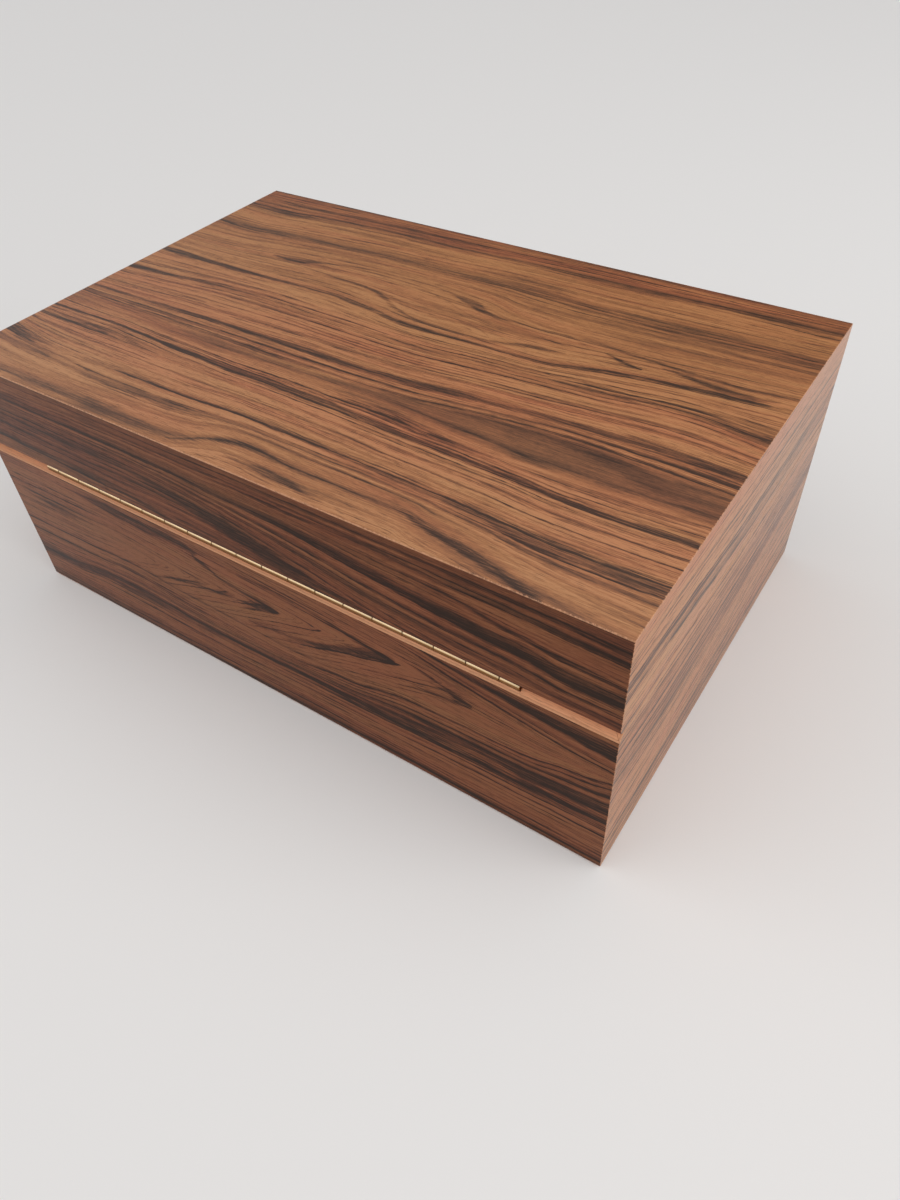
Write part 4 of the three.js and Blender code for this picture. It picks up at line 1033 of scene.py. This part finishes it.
first_seam = -knuckle_pitch * full_knuckles / 2
seams = [-hinge_half] + [first_seam + i * knuckle_pitch for i in range(full_knuckles + 1)] + [hinge_half]
for part, way in (("base", 1), ("lid", -1)):
    near = pin_z - way * rim_gap
    far = near - way * leaf_thick
    low, high = min(near, far), max(near, far)
    corners = (-hinge_half, pin_y - leaf_reach, low), (hinge_half, pin_y - leaf_clear, high)
    leaf = add_block("hinge_" + part + "_plate", *corners)
    pick("edges", upright)
    round_off(leaf_corner, 3)
    bpy.ops.object.mode_set(mode="OBJECT")
    pieces = [leaf]
    for i in range(0 if part == "base" else 1, len(seams) - 1, 2):
        start = seams[i] + (0 if i == 0 else knuckle_gap / 2)
        stop = seams[i + 1] - (0 if i == len(seams) - 2 else knuckle_gap / 2)
        knuckle = add_rod("knuckle", barrel_radius, start, stop)
        pick("faces", on_end)
        bpy.ops.mesh.inset(thickness=barrel_radius - bore_radius)
        pick("faces", lambda face: on_end(face) and face.calc_area() < 1.02 * math.pi * bore_radius ** 2)
        bpy.ops.mesh.bridge_edge_loops()
        pick("edges", on_rim)
        round_off(knuckle_edge, 3)
        bpy.ops.object.mode_set(mode="OBJECT")
        tongue_low = (start, pin_y - leaf_clear - tongue_lap, low)
        tongue_high = (stop, pin_y - tongue_into_share * barrel_radius, high)
        tongue = add_block("tongue", tongue_low, tongue_high)
        bpy.ops.object.mode_set(mode="OBJECT")
        pieces += [knuckle, tongue]
    hold(*pieces)
    bpy.ops.object.join()
    bpy.ops.object.mode_set(mode="EDIT")
    leave(leaf, hinge_brass, part, "brass", "hinge_" + part + "_leaf", smooth=35)

pin = add_rod("hinge_rod", pin_radius, -hinge_half, hinge_half)
pick("faces", on_end)
round_off(pin_edge, 3)
leave(pin, hinge_brass, "base", "brass", "hinge_pin", smooth=35)


# Hinge screws. Small brass countersunk screws with one slot, four to a leaf, driven flush with it.
# The slots are left as they came to rest, each at its own angle.
screw_head = 2.1 * mm
screw_shank = 1.1 * mm
screw_long = 9 * mm
screw_down = 0.1 * mm
screw_slot = 0.5 * mm
screw_slot_deep = 0.45 * mm
screw_slot_run = 6 * mm
screw_rim = 0.2 * mm
screw_edge = 0.06 * mm
screw_point = 1.5 * mm
screw_point_share = 0.3
screw_turns = (12, 71, 140, 33, 95, 160, 50, 118)
for number in range(8):
    part, way = ("base", 1) if number < 4 else ("lid", -1)
    low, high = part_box("hinge_" + part + "_screw_" + str(number % 4 + 1))
    face = -rim_gap - screw_down
    unpick()
    bpy.ops.mesh.primitive_cylinder_add(
        vertices=32, radius=screw_head, depth=screw_rim, location=(0, 0, face - screw_rim / 2)
    )
    screw = bpy.context.object
    bpy.ops.object.transform_apply(location=True, rotation=True, scale=True)
    bpy.ops.object.mode_set(mode="EDIT")
    pick("faces", lambda f: f.normal.z < -0.9)
    for drop, width_share in (
        (screw_head - screw_shank, screw_shank / screw_head),
        (screw_long - screw_head, 1),
        (screw_point, screw_point_share),
    ):
        bpy.ops.mesh.extrude_region_move(TRANSFORM_OT_translate={"value": (0, 0, -drop)})
        bpy.ops.transform.resize(value=(width_share, width_share, 1))
    pick("edges", lambda e: all(v.co.z > face - hair for v in e.verts))
    round_off(screw_edge, 2)
    bpy.ops.object.mode_set(mode="OBJECT")
    unpick()
    bpy.ops.mesh.primitive_cube_add(size=1, location=(0, 0, face))
    cutter = bpy.context.object
    cutter.scale = (screw_slot_run, screw_slot, 2 * screw_slot_deep)
    bpy.ops.object.transform_apply(location=True, rotation=True, scale=True)
    hold(screw)
    apply_modifier(screw, "BOOLEAN", object=cutter, operation="DIFFERENCE", solver="EXACT")
    bpy.data.objects.remove(cutter)
    screw.rotation_euler = (0 if way > 0 else math.pi, 0, math.radians(screw_turns[number]))
    screw.location = ((low.x + high.x) / 2, (low.y + high.y) / 2, pin_z)
    bpy.ops.object.transform_apply(location=True, rotation=True, scale=True)
    screw.name = screw.data.name = part + "_screw_" + str(number % 4 + 1)
    bpy.ops.object.mode_set(mode="EDIT")
    leave(screw, hinge_brass, part, "brass", "hinge_" + part + "_screw_" + str(number % 4 + 1))


# Hygrometer. A turned brass case pressed into the lid's lining, with a flat glass in its rim, a printed
# dial and a blued needle. A coil of treated strip behind the dial turns the needle's spindle.
case_low, case_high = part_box("hygrometer_case")
gauge_x = (case_low.x + case_high.x) / 2
gauge_y = (case_low.y + case_high.y) / 2
flange_radius = (case_high.x - case_low.x) / 2
flange_thick = 3 * mm
barrel_wide = 17 * mm
opening_radius = 15.2 * mm
rim_lip = 0.8 * mm
glass_seat_radius = 16 * mm
ledge_radius = 15 * mm
dial_seat = 129.9 * mm
case_back = 1 * mm
turned_sides = 96
pane_edge = 0.15 * mm
needle_edge = 0.06 * mm
strip_edge = 0.05 * mm


def add_turned(name, x, y, radius, low, high, sides=turned_sides):
    """Starts a turned piece from an upright round blank between two levels, in edit mode."""
    unpick()
    middle = (x, y, (low + high) / 2)
    bpy.ops.mesh.primitive_cylinder_add(vertices=sides, radius=radius, depth=high - low, location=middle)
    return begin(name)


def pick_disc(level, facing):
    """Selects the one flat round face at a level that faces up or down."""
    pick("faces", lambda face: face.normal.z * facing > 0.9 and len(face.verts) > 8
         and abs(face.calc_center_median().z - level) < hair)


def pull(rise):
    """Draws the picked face out or in along the axis."""
    bpy.ops.mesh.extrude_region_move(TRANSFORM_OT_translate={"value": (0, 0, rise)})


def spread(share):
    """Makes the picked face wider or narrower about the middle of the piece."""
    bpy.ops.transform.resize(value=(share, share, 1), center_override=(gauge_x, gauge_y, 0))


def ring_at(radius, level):
    """A test for the edges that run round the gauge at one radius and level."""
    return lambda edge: all(
        abs(v.co.z - level) < hair
        and abs(math.hypot(v.co.x - gauge_x, v.co.y - gauge_y) - radius) < 2 * hair
        for v in edge.verts
    )


flange_top = case_low.z + flange_thick
case = add_turned("hygrometer_turned_case", gauge_x, gauge_y, flange_radius, case_low.z, flange_top)
pick_disc(flange_top, 1)
bpy.ops.mesh.inset(thickness=flange_radius - barrel_wide)
pick("faces", lambda f: len(f.verts) > 8 and f.normal.z > 0.9)
pull(case_high.z - flange_top)
pick_disc(case_low.z, -1)
bpy.ops.mesh.inset(thickness=flange_radius - opening_radius)
pick("faces", lambda f: len(f.verts) > 8 and f.normal.z < -0.9)
pull(rim_lip)
pull(0)
spread(glass_seat_radius / opening_radius)
pull(dial_seat - case_low.z - rim_lip)
pull(0)
spread(ledge_radius / glass_seat_radius)
pull(case_high.z - case_back - dial_seat)
# The radius and level of each turned edge, how far it is rounded and in how many steps
turned_edges = [
    (flange_radius, case_low.z, 1 * mm, 5),
    (flange_radius, flange_top, 0.15 * mm, 2),
    (opening_radius, case_low.z, 0.35 * mm, 4),
    (barrel_wide, case_high.z, 0.4 * mm, 3),
]
for radius, level, width, steps in turned_edges:
    pick("edges", ring_at(radius, level))
    round_off(width, steps)
bpy.ops.mesh.select_all(action="SELECT")
bpy.ops.mesh.normals_make_consistent(inside=False)

lathe_brass, tree, shader = finish_for("lathe-turned brass", Metallic=1.0)
place = in_millimetres(tree)
off_middle = less(place["X"], gauge_x / mm)
flat = fit(tree, "CombineXYZ", {"X": off_middle, "Y": place["Y"]}).outputs[0]
radius = fit(tree, "VectorMath", {0: flat}, operation="LENGTH").outputs["Value"]
turned = grained(radius, place["Z"], 0, (5, 5, 1), 3, 0.7)
metal = use(tree, brass_wear, {"Along": radius, "Across": place["Y"], "Through": place["Z"]})
shaded = mixed(times(turned, 0.25), metal["Color"], [0.5, 0.34, 0.14, 1])
coat(shader, shaded, times_plus(turned, 0.22, 0.12), (turned, 0.2, 0.03 * mm))
leave(case, lathe_brass, "lid", "brass", "hygrometer_case", smooth=35)

glass_low, glass_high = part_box("hygrometer_glass")
glass_finish, tree, shader = finish_for("clear glass", Transmission_Weight=1.0, IOR=1.5)
place = in_millimetres(tree)
dusty = grained(*place, (0.35, 0.35, 0.35), 5, 0.7)
tint = mixed(dusty, paint(250, 252, 251), paint(240, 246, 243))
coat(shader, tint, ramp(dusty, [(0.45, 0.0), (0.8, 0.06)]))
pane_radius = (glass_high.x - glass_low.x) / 2
pane = add_turned("hygrometer_pane", gauge_x, gauge_y, pane_radius, glass_low.z, glass_high.z)
pick("edges", lambda edge: not upright(edge))
round_off(pane_edge, 2)
leave(pane, glass_finish, "lid", "glass", "hygrometer_glass")

dial_low, dial_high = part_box("hygrometer_dial")
dial_radius = (dial_high.x - dial_low.x) / 2
dial_hole = 0.75 * mm
scale_radius = 13.4
scale_start = -135
scale_turn = 270
scale_slack = 0.4
dial_finish, tree, shader = finish_for("printed dial", Roughness=0.5, Specular_IOR_Level=0.3)
place = in_millimetres(tree)
right = less(place["X"], gauge_x / mm)
up = less(gauge_y / mm, place["Y"])
radius = times_plus(right, right, times(up, up))
radius = maths("SQRT", radius)
angle = maths("DEGREES", maths("ARCTAN2", right, up))
percent = times(less(angle, scale_start), 100 / scale_turn)
on_scale = maths("GREATER_THAN", percent, -scale_slack)
on_scale = times(on_scale, maths("LESS_THAN", percent, 100 + scale_slack))


def dial_strokes(step, half_wide, inner):
    """Radial strokes at every so many divisions, from an inner radius out to the scale's circle."""
    off = maths("PINGPONG", maths("MAXIMUM", percent, -step), step / 2)
    off = times(times(off, scale_turn / 100 * math.pi / 180), radius)
    near = maths("LESS_THAN", off, half_wide)
    span = maths("LESS_THAN", radius, scale_radius)
    span = times(maths("GREATER_THAN", radius, inner), span)
    return times(near, span)


ink = maths("MAXIMUM", dial_strokes(2, 0.07, 12.4), dial_strokes(10, 0.14, 11.4))
line = maths("COMPARE", radius, scale_radius, 0.08)
ink = times(maths("MAXIMUM", ink, line), on_scale)
speckle = grained(*place, (0.8, 0.8, 0.8), 4, 0.6)
card = mixed(speckle, paint(246, 241, 226), paint(232, 224, 203))
coat(shader, mixed(ink, card, paint(34, 30, 30)))
dial = add_turned("hygrometer_card", gauge_x, gauge_y, dial_radius, dial_low.z, dial_high.z)
pick("faces", lambda face: len(face.verts) > 8)
bpy.ops.mesh.inset(thickness=dial_radius - dial_hole)
pick("faces", lambda face: len(face.verts) > 8 and face.calc_area() < 0.5 * math.pi * dial_radius ** 2)
bpy.ops.mesh.bridge_edge_loops()
leave(dial, dial_finish, "lid", "dial", "hygrometer_dial")

ink_finish, tree, shader = finish_for("printing ink", Roughness=0.45, Specular_IOR_Level=0.3)
place = in_millimetres(tree)
worn = grained(*place, (2, 2, 2), 3, 0.6)
coat(shader, mixed(worn, paint(28, 25, 26), paint(52, 47, 46)))
number_height = 2.5 * mm
number_radius = 9.6 * mm
ink_thick = 0.03 * mm
numbers = []
for reading in range(0, 101, 10):
    bearing = math.radians(scale_start + scale_turn * reading / 100)
    unpick()
    bpy.ops.object.text_add(location=(0, 0, 0))
    figure = bpy.context.object
    figure.data.body = str(reading)
    figure.data.size = number_height
    figure.data.align_x = "CENTER"
    figure.data.align_y = "CENTER"
    figure.data.extrude = ink_thick / 2
    bpy.ops.object.convert(target="MESH")
    figure.rotation_euler = (math.pi, 0, 0)
    across = gauge_x + number_radius * math.sin(bearing)
    down = gauge_y - number_radius * math.cos(bearing)
    figure.location = (across, down, dial_low.z - ink_thick / 2)
    bpy.ops.object.transform_apply(location=True, rotation=True, scale=True)
    numbers.append(figure)
hold(*numbers)
bpy.ops.object.join()
numbers[0].name = numbers[0].data.name = "dial_numbers"
bpy.ops.object.mode_set(mode="EDIT")
leave(numbers[0], ink_finish, "lid", "dial")

needle_finish, tree, shader = finish_for("blued steel", Metallic=1.0)
place = in_millimetres(tree)
heat = grained(*place, (0.6, 0.6, 0.6), 3, 0.6)
blued = mixed(heat, paint(30, 38, 66), paint(60, 52, 84))
coat(shader, blued, times_plus(heat, 0.15, 0.2))
dress(["hygrometer_needle"], needle_finish)
ease(["hygrometer_needle"], needle_edge)

strip_finish, tree, shader = finish_for("treated strip", Metallic=0.6)
place = in_millimetres(tree)
rolled = grained(place["Z"], place["X"], place["Y"], (3, 0.4, 0.4), 3, 0.6)
treated = mixed(rolled, paint(190, 148, 96), paint(150, 108, 66))
coat(shader, treated, times_plus(rolled, 0.2, 0.4))
dress(["hygrometer_coil"], strip_finish)
ease(["hygrometer_coil"], strip_edge)


# Humidifier. A moulded black case with a slotted cover that clips over its mouth and a block of absorbent
# foam inside. A flat magnet holds it to the lid's lining.
moulded, start, end = effect("moulded plastic", "X Y Z", "Mask Roughness")
place = start[:3]
pebble = grained(*place, (3, 3, 3), 3, 0.6)
handled = grained(*place, (0.08, 0.08, 0.08), 4, 0.6)
moulded.links.new(pebble, end["Mask"])
moulded.links.new(times_plus(handled, 0.3, 0.3), end["Roughness"])
plastic_finish, tree, shader = finish_for("black plastic", Specular_IOR_Level=0.5)
place = in_millimetres(tree)
skin = use(tree, moulded, {"X": place["X"], "Y": place["Y"], "Z": place["Z"]})
black = mixed(skin["Mask"], paint(26, 26, 28), paint(44, 44, 46))
coat(shader, black, skin["Roughness"], (skin["Mask"], 0.35, 0.08 * mm))
for name, width in (("humidifier_case", 0.4 * mm), ("humidifier_cover", 0.25 * mm)):
    dress([name], plastic_finish)
    ease([name], width, 3)

magnet_finish, tree, shader = finish_for("bonded magnet", Roughness=0.8, Specular_IOR_Level=0.3)
place = in_millimetres(tree)
grit = grained(*place, (4, 4, 4), 3, 0.7)
coat(shader, mixed(grit, paint(48, 42, 38), paint(78, 70, 64)))
dress(["humidifier_magnet"], magnet_finish)
magnet_edge = 0.15 * mm
ease(["humidifier_magnet"], magnet_edge)

foam_finish, tree, shader = finish_for("absorbent foam", Roughness=0.95, Specular_IOR_Level=0.2)
place = in_millimetres(tree)
point = fit(tree, "CombineXYZ", {"X": place["X"], "Y": place["Y"], "Z": place["Z"]}).outputs[0]
cells = fit(tree, "TexVoronoi", {"Vector": point, "Scale": 1.3}).outputs["Distance"]
green = mixed(cells, paint(108, 132, 108), paint(164, 182, 156))
coat(shader, green, relief=(cells, 0.7, 0.4 * mm))
pad_low, pad_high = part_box("humidifier_pad")
pad_corner = 3.1 * mm
pad_edge = 0.8 * mm
pad = add_block("humidifier_foam", pad_low, pad_high)
pick("edges", upright)
round_off(pad_corner, 6)
pick("edges", lambda edge: not upright(edge))
round_off(pad_edge, 4)
leave(pad, foam_finish, "lid", "pad", "humidifier_pad", smooth=60)
